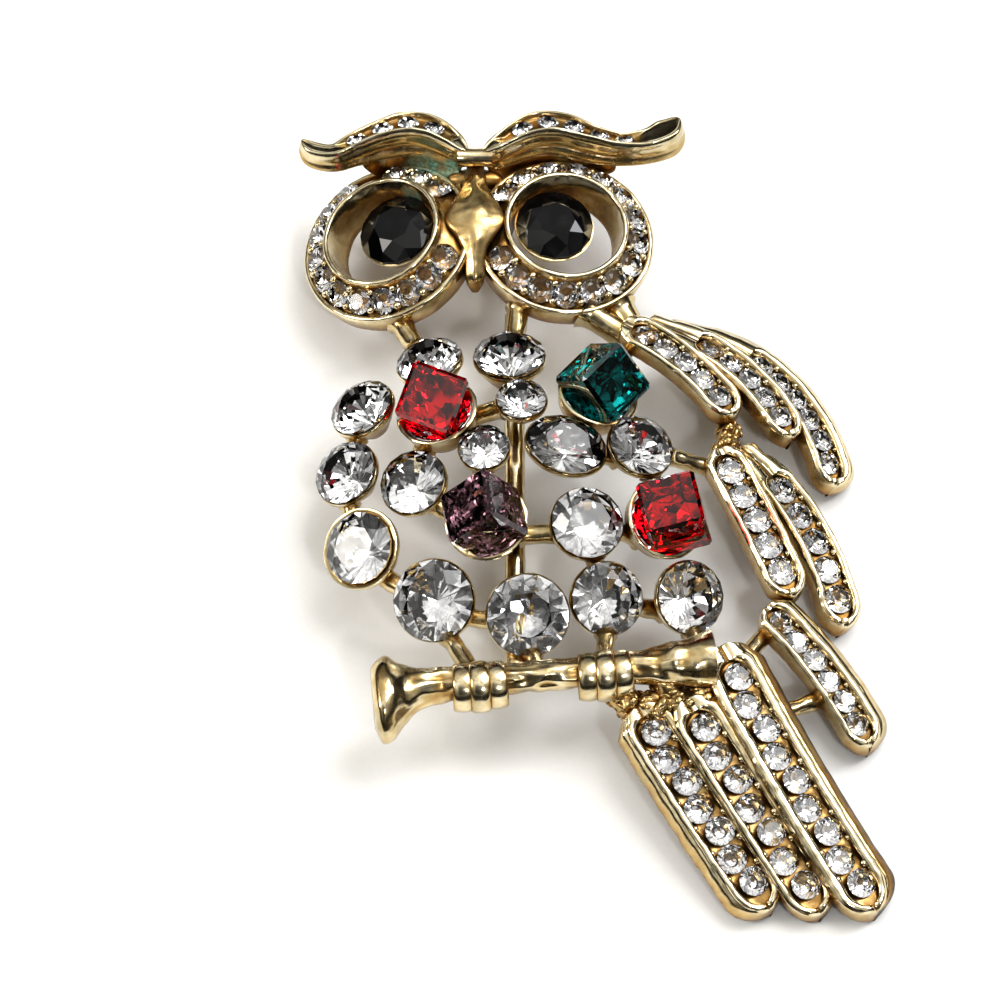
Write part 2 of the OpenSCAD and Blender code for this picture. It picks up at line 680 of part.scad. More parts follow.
module brow_stones(side) {
    rows = side < 0 ? BROW_LEFT : BROW_RIGHT;
    l = side < 0 ? brow_left_l : brow_right_l;
    first = 0.2;
    last = side < 0 ? 0.66 : 0.72;
    n = floor((last - first) * l / (brow_stone_d + row_gap));
    at_brow(side) for (k = [0:n]) {
        s = first + (last - first) * k / n;
        slope = atan2(brow_value(rows, s + 0.03, 1) - brow_value(rows, s - 0.03, 1), 0.06);
        rise = brow_value(rows, s, 3) * brow_t;
        translate(brow_start + [s * l, brow_value(rows, s, 1) * l, rise])
            rotate([0, 0, slope]) rotate([-brow_back, 0, 0]) small_stone(brow_stone_d);
    }
}

// Beak: a long lozenge with a soft ridge
module beak() {
    w = beak_w / 2;
    top = [beak_x, eye_y + 5.7, (ring_left_h + ring_right_h) / 2 + 1.6];
    hull() {
        translate(top + [0, 0, -1]) sphere(d = beak_w * 0.36, $fn = 8);
        translate(top + [-w * 0.72, -beak_l * 0.5, 0]) sphere(d = beak_w * 0.22, $fn = 8);
        translate(top + [w * 0.72, -beak_l * 0.5, 0.1]) sphere(d = beak_w * 0.22, $fn = 8);
        translate(top + [0, -beak_l * 0.5, 0.4]) sphere(d = beak_w * 0.4, $fn = 8);
        translate(top + [0, -beak_l * 0.94, -1.6]) sphere(d = beak_w * 0.3, $fn = 8);
        translate(top + [0, -beak_l * 0.5, -2.6]) sphere(d = beak_w * 0.5, $fn = 8);
    }
}

// Branch and feet

function branch_at(s) = branch_p + [s * branch_l * cos(branch_turn), s * branch_l * sin(branch_turn), 0];

module at_branch(s) {
    translate(branch_at(s)) rotate([0, 0, branch_turn]) children();
}

module branch() {
    skin([for (row = BRANCH)
        let (p = branch_at(row[0]), r = row[1] * branch_d)
        [for (k = [0:7]) let (a = 45 * k)
            p + [-r * cos(a) * sin(branch_turn), r * cos(a) - row[2] * branch_d,
                r * sin(a) * (row[1] > 0.9 ? 0.8 : 1)]]]);
}

// Three toes side by side round the branch
module claw(s) {
    toe = claw_w / 3;
    at_branch(s) for (k = [-1:1]) {
        translate([k * toe - toe * 0.6, -0.12 * claw_d, 0]) rotate([0, 90, 0]) hull() {
            cylinder(h = toe * 1.2, d = claw_d * 0.8, $fn = 8);
            translate([0, 0, toe * 0.3]) cylinder(h = toe * 0.6, d = claw_d * 0.92, $fn = 8);
        }
    }
}

// Bars that tie the groups together

module ties() {
    thin = strut_d;
    thick = strut_d * 1.6;
    left_foot = ring_left_p + [ring_d * 0.09, -ring_d * 0.47, -ring_depth * 0.6];
    right_foot = ring_right_p + [-ring_d * 0.26, -ring_d * 0.42, -ring_depth * 0.6];
    strut(left_foot, cup_foot(0), strut_d * 1.3);
    strut(right_foot, cup_foot(1), strut_d * 1.2);
    // Block under the right ring, to the root of the upper wing
    strut(ring_right_p + [0, -ring_d * 0.47, -ring_depth * 0.7], feather_foot(0, 0.05, thick), thick);
    strut(ring_right_p + [ring_d * 0.3, -ring_d * 0.38, -ring_depth * 0.8],
        feather_foot(0, 0.12, thick), thick);
    strut(feather_foot(0, 0.04, thin), cup_foot(17), thin);
    // Neck from the upper wing to the middle one
    lump(feather_foot(0, 0.93, thick), feather_foot(3, 0.09, thick), thick);
    feather_tie(3, 0.06, 4, 0.1, thick);
    strut(cup_foot(8), feather_foot(3, 0.08, thin), thin);
    // From the middle wing to the lower one, and on to the branch and the tail
    feather_tie(3, 0.85, 5, 0.08, thin);
    feather_tie(5, 0.05, 8, 0.06, thin);
    feather_tie(5, 0.6, 8, 0.24, thin);
    strut(branch_at(0.93), feather_foot(8, 0.02, thick), thick);
    strut(cup_foot(14), branch_at(0.95), thin);
    strut(cup_foot(13), branch_at(CLAWS[1]), thin);
    strut(cup_foot(12), branch_at(0.48), thin);
    strut(cup_foot(11), branch_at(CLAWS[0]), thin);
    // Rough block under the branch, where the tail starts
    lump(branch_at(0.68), feather_foot(6, 0.06, thick), thick);
    lump(branch_at(0.82), feather_foot(7, 0.06, thick), thick);
    feather_tie(6, 0.05, 7, 0.05, thick);
    feather_tie(7, 0.05, 8, 0.24, thick);
    // Webs between the brows and the rings
    for (side = [-1, 1], k = [-1, 1]) {
        ring_p = side < 0 ? ring_left_p : ring_right_p;
        lean = side < 0 ? ring_left_lean : ring_right_lean;
        across = ring_d * (0.12 * k - side * 0.08);
        foot = ring_p + [across, ring_d * 0.485, -2.2 - side * across * sin(lean)];
        strut(foot, [foot[0], brow_start[1] + brow_w * 0.6, brow_h - brow_t * 0.4], strut_d * 1.4);
    }
}

// Middle of a bar of thickness d that ties a feather from below, under its stones
function feather_foot(i, s, d) =
    feather_p(i, s) - [0, 0, feather_depth(i) - floor_t + d / 2 + 0.05];

module feather_tie(i, s, j, t, d) {
    strut(feather_foot(i, s, d), feather_foot(j, t, d), d);
}

module back_bar() {
    top = ring_right_p[1] - ring_d * 0.42;
    bottom = branch_at(0.42)[1];
    translate([back_bar_x - back_bar_w / 2, bottom, back_bar_h - back_bar_t])
        cube([back_bar_w, top - bottom, back_bar_t]);
}

module metal() {
    ring(-1);
    ring(1);
    eye_cup(-1);
    eye_cup(1);
    brow(-1);
    brow(1);
    beak();
    for (i = [0:len(CLEAR) - 1]) clear_cup(i);
    for (i = [0:len(CUBES) - 1]) cube_cup(i);
    for (i = [0:len(FEATHERS) - 1]) feather(i);
    for (s = STRUTS) strut(cup_foot(s[0]), cup_foot(s[1]), strut_d * s[2]);
    branch();
    for (s = CLAWS) claw(s);
    ties();
    back_bar();
}

module casting() {
    color(plate) difference() {
        metal();
        for (i = [0:len(CLEAR) - 1]) at_clear(i) brilliant_room(CLEAR[i][2], CLEAR[i][4]);
        for (i = [0:len(CUBES) - 1]) at_cube(i) on_corner() cube(cube_edge + 2 * stone_clear, center = true);
        for (side = [-1, 1]) at_eye(side) brilliant_room(eye_stone_d);
        pin_ends(solder_gap);
    }
}

pin_mid = 0.01 * owl_l;
pin_end_l = 2.6;

// The two ends of the pin, or with a gap their room in the casting
module pin_ends(gap) {
    top = back_bar_h - back_bar_t - solder_gap;
    for (side = [-1, 1])
        translate([back_bar_x, pin_mid + side * (pin_l - pin_end_l) / 2, top / 2])
            cube([pin_end_w + 2 * gap, pin_end_l + 2 * gap, top + 2 * gap], center = true);
}

// Bar pin: two ends under the back bar and the stem between them, in one piece
module bar_pin() {
    color(plate) {
        pin_ends(0);
        translate([back_bar_x, pin_mid - pin_l / 2 + 0.5, pin_stem_h]) rotate([-90, 0, 0])
            cylinder(h = pin_l - 1, d = pin_stem_d, $fn = 16);
    }
}

casting();
bar_pin();
eye_stone(-1);  // eye_stone_left
eye_stone(1);  // eye_stone_right
cube_stone(0);  // cube_red_left
cube_stone(1);  // cube_purple
cube_stone(2);  // cube_teal
cube_stone(3);  // cube_red_right
clear_stone(0);  // clear_01
clear_stone(1);  // clear_02
clear_stone(2);  // clear_03
clear_stone(3);  // clear_04
clear_stone(4);  // clear_05
clear_stone(5);  // clear_06
clear_stone(6);  // clear_07
clear_stone(7);  // clear_08
clear_stone(8);  // clear_09
clear_stone(9);  // clear_10
clear_stone(10);  // clear_11
clear_stone(11);  // clear_12
clear_stone(12);  // clear_13
clear_stone(13);  // clear_14
clear_stone(14);  // clear_15
color(clear_glass) ring_stones(-1);  // stones_ring_left
color(clear_glass) ring_stones(1);  // stones_ring_right
color(clear_glass) brow_stones(-1);  // stones_brow_left
color(clear_glass) brow_stones(1);  // stones_brow_right
color(clear_glass) feather_stones(0);  // stones_wing_upper_a
color(clear_glass) feather_stones(1);  // stones_wing_upper_b
color(clear_glass) feather_stones(2);  // stones_wing_upper_c
color(clear_glass) feather_stones(3);  // stones_wing_middle_a
color(clear_glass) feather_stones(4);  // stones_wing_middle_b
color(clear_glass) feather_stones(5);  // stones_wing_lower
color(clear_glass) feather_stones(6);  // stones_tail_a
color(clear_glass) feather_stones(7);  // stones_tail_b
color(clear_glass) feather_stones(8);  // stones_tail_c
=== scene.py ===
"""Dresses the owl brooch: an antique gold casting set with foil-backed cut glass.

All sizes are in millimetres until a mesh is made, which is in metres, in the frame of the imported
model: +X to the right, +Y to the owl's head, +Z out of its face, the floor at zero.
"""
from __future__ import annotations

import itertools
import json
import logging
import math
import random
from dataclasses import dataclass, field
from enum import Enum
from math import cos, degrees, hypot, pi, radians, sin, sqrt
from typing import Iterable, Sequence

import bmesh
import bpy
import numpy as np
from bpy.types import ColorRamp, ID, Material, Mesh, Node, NodeSocket, NodeTree, Object
from mathutils import Matrix, Vector, noise

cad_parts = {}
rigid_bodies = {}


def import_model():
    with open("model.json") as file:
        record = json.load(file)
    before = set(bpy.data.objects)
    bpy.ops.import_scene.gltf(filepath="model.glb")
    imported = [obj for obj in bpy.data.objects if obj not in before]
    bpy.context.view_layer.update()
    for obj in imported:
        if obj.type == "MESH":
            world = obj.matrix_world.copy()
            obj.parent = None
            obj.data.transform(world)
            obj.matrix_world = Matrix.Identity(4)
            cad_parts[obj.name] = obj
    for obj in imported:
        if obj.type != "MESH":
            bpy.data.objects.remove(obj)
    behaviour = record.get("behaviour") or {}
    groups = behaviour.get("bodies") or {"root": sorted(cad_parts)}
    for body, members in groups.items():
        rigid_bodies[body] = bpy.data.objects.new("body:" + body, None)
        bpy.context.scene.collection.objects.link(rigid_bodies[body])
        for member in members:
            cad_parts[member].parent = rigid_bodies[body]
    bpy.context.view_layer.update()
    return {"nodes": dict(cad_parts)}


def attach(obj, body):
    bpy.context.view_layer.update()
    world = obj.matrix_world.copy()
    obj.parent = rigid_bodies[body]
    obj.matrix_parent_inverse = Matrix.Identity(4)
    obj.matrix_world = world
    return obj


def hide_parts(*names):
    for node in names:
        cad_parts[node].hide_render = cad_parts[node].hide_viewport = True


LOG = logging.getLogger("brooch")
MM = 0.001
BODY = "root"
MATH = "ShaderNodeMath"


# Small helpers


def linear(colour: str) -> tuple[float, float, float, float]:
    """Turns an sRGB hex value into linear light.

    Args:
        colour: The colour as "#rrggbb".

    Returns:
        Red, green, blue and alpha.
    """
    parts = [int(colour[i : i + 2], 16) / 255 for i in (1, 3, 5)]
    out = [c / 12.92 if c <= 0.04045 else ((c + 0.055) / 1.055) ** 2.4 for c in parts]
    return out[0], out[1], out[2], 1.0


def add_node(
    tree: NodeTree, kind: str, inputs: dict[str | int, object] | None = None, **settings: object
) -> Node:
    """Adds a node with its settings, its values and its links.

    Args:
        tree: The node tree.
        kind: The node's type name.
        inputs: For each input, by name or number, a value, or a socket or a node to link from. Of
            a node the first output is taken.
        settings: Values of the node's own properties.

    Returns:
        The new node.
    """
    node = tree.nodes.new(kind)
    for key, value in settings.items():
        setattr(node, key, value)
    for key, value in (inputs or {}).items():
        socket = node.inputs[key]
        if isinstance(value, Node):
            value = value.outputs[0]
        if isinstance(value, NodeSocket):
            tree.links.new(value, socket)
        else:
            socket.default_value = value
    return node


def fill_ramp(ramp: ColorRamp, stops: Sequence[tuple[float, str]]) -> None:
    """Gives a colour ramp its stops.

    Args:
        ramp: The ramp, with two stops or fewer.
        stops: Each stop's place and its colour as "#rrggbb".
    """
    while len(ramp.elements) < len(stops):
        ramp.elements.new(0.5)
    for element, (at, colour) in zip(ramp.elements, stops):
        element.position = at
        element.color = linear(colour)


def turn(x: float, y: float, z: float) -> Matrix:
    """The matrix of turns about X, then Y, then Z.

    Args:
        x: Turn about X in degrees.
        y: Turn about Y in degrees.
        z: Turn about Z in degrees.

    Returns:
        The matrix.
    """
    return (
        Matrix.Rotation(radians(z), 4, "Z")
        @ Matrix.Rotation(radians(y), 4, "Y")
        @ Matrix.Rotation(radians(x), 4, "X")
    )


def shift(x: float, y: float, z: float) -> Matrix:
    """The matrix of a move."""
    return Matrix.Translation((x, y, z))


def moved(points: np.ndarray, place: Matrix) -> np.ndarray:
    """The points after the matrix."""
    m = np.array(place)
    return points @ m[:3, :3].T + m[:3, 3]


def corner_cut(ring: np.ndarray, passes: int) -> np.ndarray:
    """Rounds a closed ring of rows by cutting its corners.

    Args:
        ring: One row for each point, with any columns.
        passes: How often the corners are cut. Each pass doubles the points.

    Returns:
        The rounded ring.
    """
    for _ in range(passes):
        after = np.roll(ring, -1, axis=0)
        pair = np.stack([ring * 0.75 + after * 0.25, ring * 0.25 + after * 0.75], axis=1)
        ring = pair.reshape(-1, ring.shape[1])
    return ring


def table_value(rows: Sequence[Sequence[float]], s: float, column: int) -> float:
    """A smooth value of a table between its rows.

    Args:
        rows: The table, with the place in its first column.
        s: The place to read at.
        column: The column to read.

    Returns:
        The value on a Catmull-Rom curve through the rows.
    """
    xs = [r[0] for r in rows]
    ys = [r[column] for r in rows]
    s = min(max(s, xs[0]), xs[-1])
    k = max(0, min(len(xs) - 2, sum(1 for x in xs if x <= s) - 1))
    h = xs[k + 1] - xs[k]
    t = (s - xs[k]) / h

    def slope(i: int) -> float:
        """Slope of the curve at row i."""
        lo, hi = max(0, i - 1), min(len(xs) - 1, i + 1)
        return (ys[hi] - ys[lo]) / (xs[hi] - xs[lo])

    a, b = ys[k], ys[k + 1]
    m0, m1 = slope(k) * h, slope(k + 1) * h
    return (
        (2 * t**3 - 3 * t**2 + 1) * a
        + (t**3 - 2 * t**2 + t) * m0
        + (3 * t**2 - 2 * t**3) * b
        + (t**3 - t**2) * m1
    )


def arc_at(p: Sequence[float], heading: float, bend: float, length: float, s: float) -> tuple[float, float]:
    """A place along an arc that turns evenly over its length.

    Args:
        p: Where it starts.
        heading: The heading it starts with, in degrees.
        bend: How far it turns, in degrees.
        length: Its length.
        s: The share of the length.

    Returns:
        The place's x and y.
    """
    half = bend * s / 2
    k = 1.0 if abs(half) < 0.01 else sin(radians(half)) / radians(half)
    a = radians(heading + half)
    return p[0] + length * s * k * cos(a), p[1] + length * s * k * sin(a)


def on_line(rows: np.ndarray, p: Sequence[float], roll: float, heading: float) -> np.ndarray:
    """Stands a section across a line.

    Args:
        rows: Rows that start with how far aside and how far up each point is.
        p: A place on the line.
        roll: How far the section is rolled about the line, in radians.
        heading: The line's heading, in radians.

    Returns:
        Rows of x, y and z.
    """
    a = rows[:, 0] * cos(roll) + rows[:, 1] * sin(roll)
    b = rows[:, 1] * cos(roll) - rows[:, 0] * sin(roll)
    return np.stack([p[0] - a * sin(heading), p[1] + a * cos(heading), p[2] + b], axis=1)


def uneven(p: Sequence[float], size: float, seed: float = 0.0) -> float:
    """Smooth noise about -1 to 1 at a place in millimetres, with lumps of that size."""
    return noise.noise(Vector((p[0] / size + seed, p[1] / size - seed, p[2] / size)))


# Finishes


def start_material(name: str) -> tuple[Material, NodeTree, NodeSocket]:
    """Starts a material that is laid out on its piece's own axes.

    Args:
        name: The material's name.

    Returns:
        The material, its empty node tree and the socket of the object coordinates.
    """
    material = bpy.data.materials.new(name)
    material.use_nodes = True
    tree = material.node_tree
    tree.nodes.clear()
    return material, tree, add_node(tree, "ShaderNodeTexCoord").outputs["Object"]


def end_material(tree: NodeTree, inputs: dict[str | int, object]) -> None:
    """Ends a material with its shader.

    Args:
        tree: The material's node tree.
        inputs: The shader's values and links.
    """
    shader = add_node(tree, "ShaderNodeBsdfPrincipled", inputs)
    add_node(tree, "ShaderNodeOutputMaterial", {"Surface": shader})


@dataclass(frozen=True)
class AntiqueGold:
    """Zinc alloy, spin cast and plated in pale gold, worn and tarnished.

    The plate is cream where it was rubbed, tan to orange in the hollows and brown in the deepest
    corners, which is partly grime and partly painted shade. A green bloom sits under one brow.
    """

    name: str = "antique_gold_plate"
    rubbed: str = "#e9dcb8"
    plate: str = "#c5aa74"
    # The two darker stops carry grime and painted shade in the hollows.
    deep: str = "#94692e"
    grime_and_shade_brown: str = "#22180e"
    olive: str = "#918560"
    bloom: str = "#7da58d"
    bloom_dark: str = "#3d6150"
    lump_mm: float = 1.1
    grain_mm: float = 0.16
    tarnish_mm: float = 4.5

    def material(self) -> Material:
        """The finished material.

        Returns:
            The material.
        """
        material, tree, place = start_material(self.name)
        sizes = (
            ("dirt_and_shade", 0.9, 4, 0.0), ("tarnish", self.tarnish_mm, 5, 0.6), ("bloom", 0.7, 6, 0.0),
            ("powder", 0.3, 4, 0.0), ("wear", 0.5, 5, 0.0), ("lump", self.lump_mm, 2, 0.0),
            ("grain", self.grain_mm, 3, 0.0),
        )
        clouds = {
            key: add_node(
                tree, "ShaderNodeTexNoise",
                {"Vector": place, "Scale": 1 / (size * MM), "Detail": detail, "Distortion": twist},
            )
            for key, size, detail, twist in sizes
        }
        recess = add_node(tree, "ShaderNodeAttribute", attribute_name="recess").outputs["Fac"]
        bloom = add_node(tree, "ShaderNodeAttribute", attribute_name="bloom").outputs["Fac"]
        # Painted shade: ambient occlusion darkens the plate in corners, in creases and between parts.
        near = add_node(tree, "ShaderNodeAmbientOcclusion", {"Distance": 1.0 * MM}, samples=4)
        shut = add_node(tree, MATH, {0: 1.0, 1: near.outputs["AO"]}, operation="SUBTRACT")
        # The per-point attribute read above adds to it: grime and painted shade in the hollows, painted dark
        # reflection on the walls.
        dirt_and_shade = add_node(tree, MATH, {0: shut, 1: 0.62, 2: recess}, operation="MULTIPLY_ADD")
        cloudy = add_node(tree, MATH, {0: clouds["dirt_and_shade"], 1: 0.5, 2: -0.25}, operation="MULTIPLY_ADD")
        depth = add_node(tree, MATH, {0: dirt_and_shade, 1: cloudy}, operation="ADD", use_clamp=True)
        tones = add_node(tree, "ShaderNodeValToRGB", {"Fac": depth})
        fill_ramp(
            tones.color_ramp,
            ((0.0, self.rubbed), (0.22, self.plate), (0.62, self.deep), (1.0, self.grime_and_shade_brown)),
        )
        patch = add_node(
            tree, "ShaderNodeMapRange",
            {"Value": clouds["tarnish"], "From Min": 0.48, "From Max": 0.68, "To Max": 0.65},
        )
        tarnished = add_node(
            tree, "ShaderNodeMix", {"Factor": patch, 6: tones, 7: linear(self.olive)}, data_type="RGBA"
        )
        green_edge = add_node(
            tree, MATH, {0: clouds["bloom"], 1: 2.2, 2: -1.35}, operation="MULTIPLY_ADD"
        )
        green = add_node(tree, MATH, {0: bloom, 1: 2.2}, operation="MULTIPLY", use_clamp=True)
        green_mask = add_node(tree, MATH, {0: green, 1: green_edge}, operation="ADD", use_clamp=True)
        green_here = add_node(tree, MATH, {0: green_mask, 1: green}, operation="MULTIPLY", use_clamp=True)
        powdery = add_node(
            tree, "ShaderNodeMapRange", {"Value": clouds["powder"], "From Min": 0.38, "From Max": 0.62}
        )
        green_tone = add_node(
            tree, "ShaderNodeMix", {"Factor": powdery, 6: linear(self.bloom_dark), 7: linear(self.bloom)},
            data_type="RGBA",
        )
        colour = add_node(
            tree, "ShaderNodeMix",
            {"Factor": green_here, 6: tarnished.outputs[2], 7: green_tone.outputs[2]}, data_type="RGBA",
        )
        bare = add_node(tree, MATH, {0: 1.0, 1: green_here}, operation="SUBTRACT", use_clamp=True)
        rough = add_node(
            tree, "ShaderNodeMapRange",
            {"Value": depth, "From Min": 0.1, "From Max": 0.9, "To Min": 0.14, "To Max": 0.42},
        )
        streaks = add_node(tree, MATH, {0: clouds["wear"], 1: 0.16, 2: -0.06}, operation="MULTIPLY_ADD")
        both = add_node(tree, MATH, {0: rough, 1: streaks}, operation="ADD", use_clamp=True)
        powder = add_node(
            tree, MATH, {0: green_here, 1: 0.5, 2: both}, operation="MULTIPLY_ADD", use_clamp=True
        )
        lumps = add_node(
            tree, "ShaderNodeBump", {"Height": clouds["lump"], "Strength": 0.2, "Distance": 0.07 * MM}
        )
        grain = add_node(
            tree, "ShaderNodeBump",
            {"Height": clouds["grain"], "Strength": 0.25, "Distance": 0.012 * MM, "Normal": lumps},
        )
        end_material(
            tree,
            {"Base Color": colour.outputs[2], "Metallic": bare, "Roughness": powder, "Normal": grain},
        )
        return material


class Glass(Enum):
    """The glasses of the stones, each with its colour in the mass."""

    CLEAR = "#ffffff"
    RED = "#bc020a"
    PURPLE = "#74525a"
    TEAL = "#045a58"


@dataclass(frozen=True)
class CutGlass:
    """Machine-cut lead glass, fire polished: sharp flat facets that bend and split the light."""

    glass: Glass
    name: str
    refraction: float = 1.58
    sheen: float = 0.5
    wear_mm: float = 0.8

    def material(self) -> Material:
        """The finished material.

        Returns:
            The material.
        """
        material, tree, place = start_material(self.name)
        haze = add_node(
            tree, "ShaderNodeTexNoise", {"Vector": place, "Scale": 1 / (self.wear_mm * MM), "Detail": 4.0}
        )
        rough = add_node(
            tree, "ShaderNodeMapRange",
            {"Value": haze, "From Min": 0.5, "From Max": 0.8, "To Min": 0.0, "To Max": 0.02},
        )
        end_material(
            tree,
            {
                "Base Color": linear(self.glass.value), "Roughness": rough, "Transmission Weight": 1.0,
                "IOR": self.refraction, "Specular IOR Level": self.sheen,
            },
        )
        return material


@dataclass(frozen=True)
class Foil:
    """Silver foil fused to the back of a stone, a little uneven, so that some facets go dull."""

    name: str
    bright: str = "#fdfdfd"
    dull: str = "#d3d3d6"
    patch_mm: float = 1.3
    crease: float = 0.0

    def material(self) -> Material:
        """The finished material.

        Returns:
            The material.
        """
        material, tree, place = start_material(self.name)
        scale = 1 / (self.patch_mm * MM)
        patch = add_node(tree, "ShaderNodeTexNoise", {"Vector": place, "Scale": scale, "Detail": 3.0})
        mask = add_node(tree, "ShaderNodeMapRange", {"Value": patch, "From Min": 0.42, "From Max": 0.66})
        colour = add_node(
            tree, "ShaderNodeMix", {"Factor": mask, 6: linear(self.bright), 7: linear(self.dull)},
            data_type="RGBA",
        )
        rough = add_node(tree, "ShaderNodeMapRange", {"Value": patch, "To Min": 0.0, "To Max": 0.05})
        creases = add_node(tree, "ShaderNodeTexVoronoi", {"Vector": place, "Scale": scale})
        bump = add_node(
            tree, "ShaderNodeBump", {"Height": creases, "Strength": self.crease, "Distance": 0.5 * MM}
        )
        end_material(
            tree, {"Base Color": colour.outputs[2], "Roughness": rough, "Metallic": 1.0, "Normal": bump}
        )
        return material


@dataclass(frozen=True)
class JetGlass:
    """Opaque black glass, cut and polished: nearly all that shows is what it mirrors."""

    name: str = "jet_glass"
    body: str = "#020203"
    dust: str = "#0c0d10"
    dust_mm: float = 1.6
    sheen: float = 0.28

    def material(self) -> Material:
        """The finished material.

        Returns:
            The material.
        """
        material, tree, place = start_material(self.name)
        dust = add_node(
            tree, "ShaderNodeTexNoise", {"Vector": place, "Scale": 1 / (self.dust_mm * MM), "Detail": 5.0}
        )
        mask = add_node(tree, "ShaderNodeMapRange", {"Value": dust, "From Min": 0.45, "From Max": 0.75})
        colour = add_node(
            tree, "ShaderNodeMix", {"Factor": mask, 6: linear(self.body), 7: linear(self.dust)},
            data_type="RGBA",
        )
        rough = add_node(tree, "ShaderNodeMapRange", {"Value": dust, "To Min": 0.02, "To Max": 0.14})
        end_material(
            tree,
            {
                "Base Color": colour.outputs[2], "Roughness": rough, "IOR": 1.5,
                "Specular IOR Level": self.sheen,
            },
        )
        return material


@dataclass(frozen=True)
class StudioPaper:
    """Matt white background paper with a faint tooth."""

    name: str = "studio_paper"
    sheet: str = "#f7f7f6"
    shade: str = "#f1f1ef"
    tooth_mm: float = 0.4

    def material(self) -> Material:
        """The finished material.

        Returns:
            The material.
        """
        material, tree, place = start_material(self.name)
        tooth = add_node(
            tree, "ShaderNodeTexNoise",
            {"Vector": place, "Scale": 1 / (self.tooth_mm * MM), "Detail": 3.0},
        )
        colour = add_node(
            tree, "ShaderNodeMix", {"Factor": tooth, 6: linear(self.sheet), 7: linear(self.shade)},
            data_type="RGBA",
        )
        end_material(tree, {"Base Color": colour.outputs[2], "Roughness": 0.8})
        return material


@dataclass
class Finishes:
    """All the materials, made once."""

    gold: Material = field(default_factory=lambda: AntiqueGold().material())
    jet: Material = field(default_factory=lambda: JetGlass().material())
    foil: Material = field(default_factory=lambda: Foil("silver_foil").material())
    creased: Material = field(
        default_factory=lambda: Foil("creased_silver_foil", patch_mm=1.7, crease=0.6).material()
    )
    clear: Material = field(default_factory=lambda: CutGlass(Glass.CLEAR, "clear_cut_glass").material())
    red: Material = field(
        default_factory=lambda: CutGlass(Glass.RED, "red_cut_glass", sheen=0.1).material()
    )
    purple: Material = field(
        default_factory=lambda: CutGlass(Glass.PURPLE, "amethyst_cut_glass", sheen=0.1).material()
    )
    teal: Material = field(
        default_factory=lambda: CutGlass(Glass.TEAL, "teal_cut_glass", sheen=0.1).material()
    )


# Mesh building


def add_object(name: str, data: ID) -> Object:
    """Adds an object to the scene.

    Args:
        name: Its name.
        data: Its mesh, lamp or camera.

    Returns:
        The object.
    """
    obj = bpy.data.objects.new(name, data)
    bpy.context.scene.collection.objects.link(obj)
    return obj


def face_out(mesh: Mesh) -> None:
    """Turns the faces of a closed mesh outwards.

    Args:
        mesh: The mesh.
    """
    work = bmesh.new()
    work.from_mesh(mesh)
    bmesh.ops.recalc_face_normals(work, faces=work.faces[:])
    work.to_mesh(mesh)
    work.free()


def band_faces(n: int, m: int, closed: bool) -> list[list[int]]:
    """The four-sided faces between rings of points.

    Args:
        n: Number of rings.
        m: Points in each ring.
        closed: True if the last ring joins the first.

    Returns:
        The point numbers of each face.
    """
    return [
        [i * m + j, i * m + (j + 1) % m, (i + 1) % n * m + (j + 1) % m, (i + 1) % n * m + j]
        for i in range(n if closed else n - 1)
        for j in range(m)
    ]


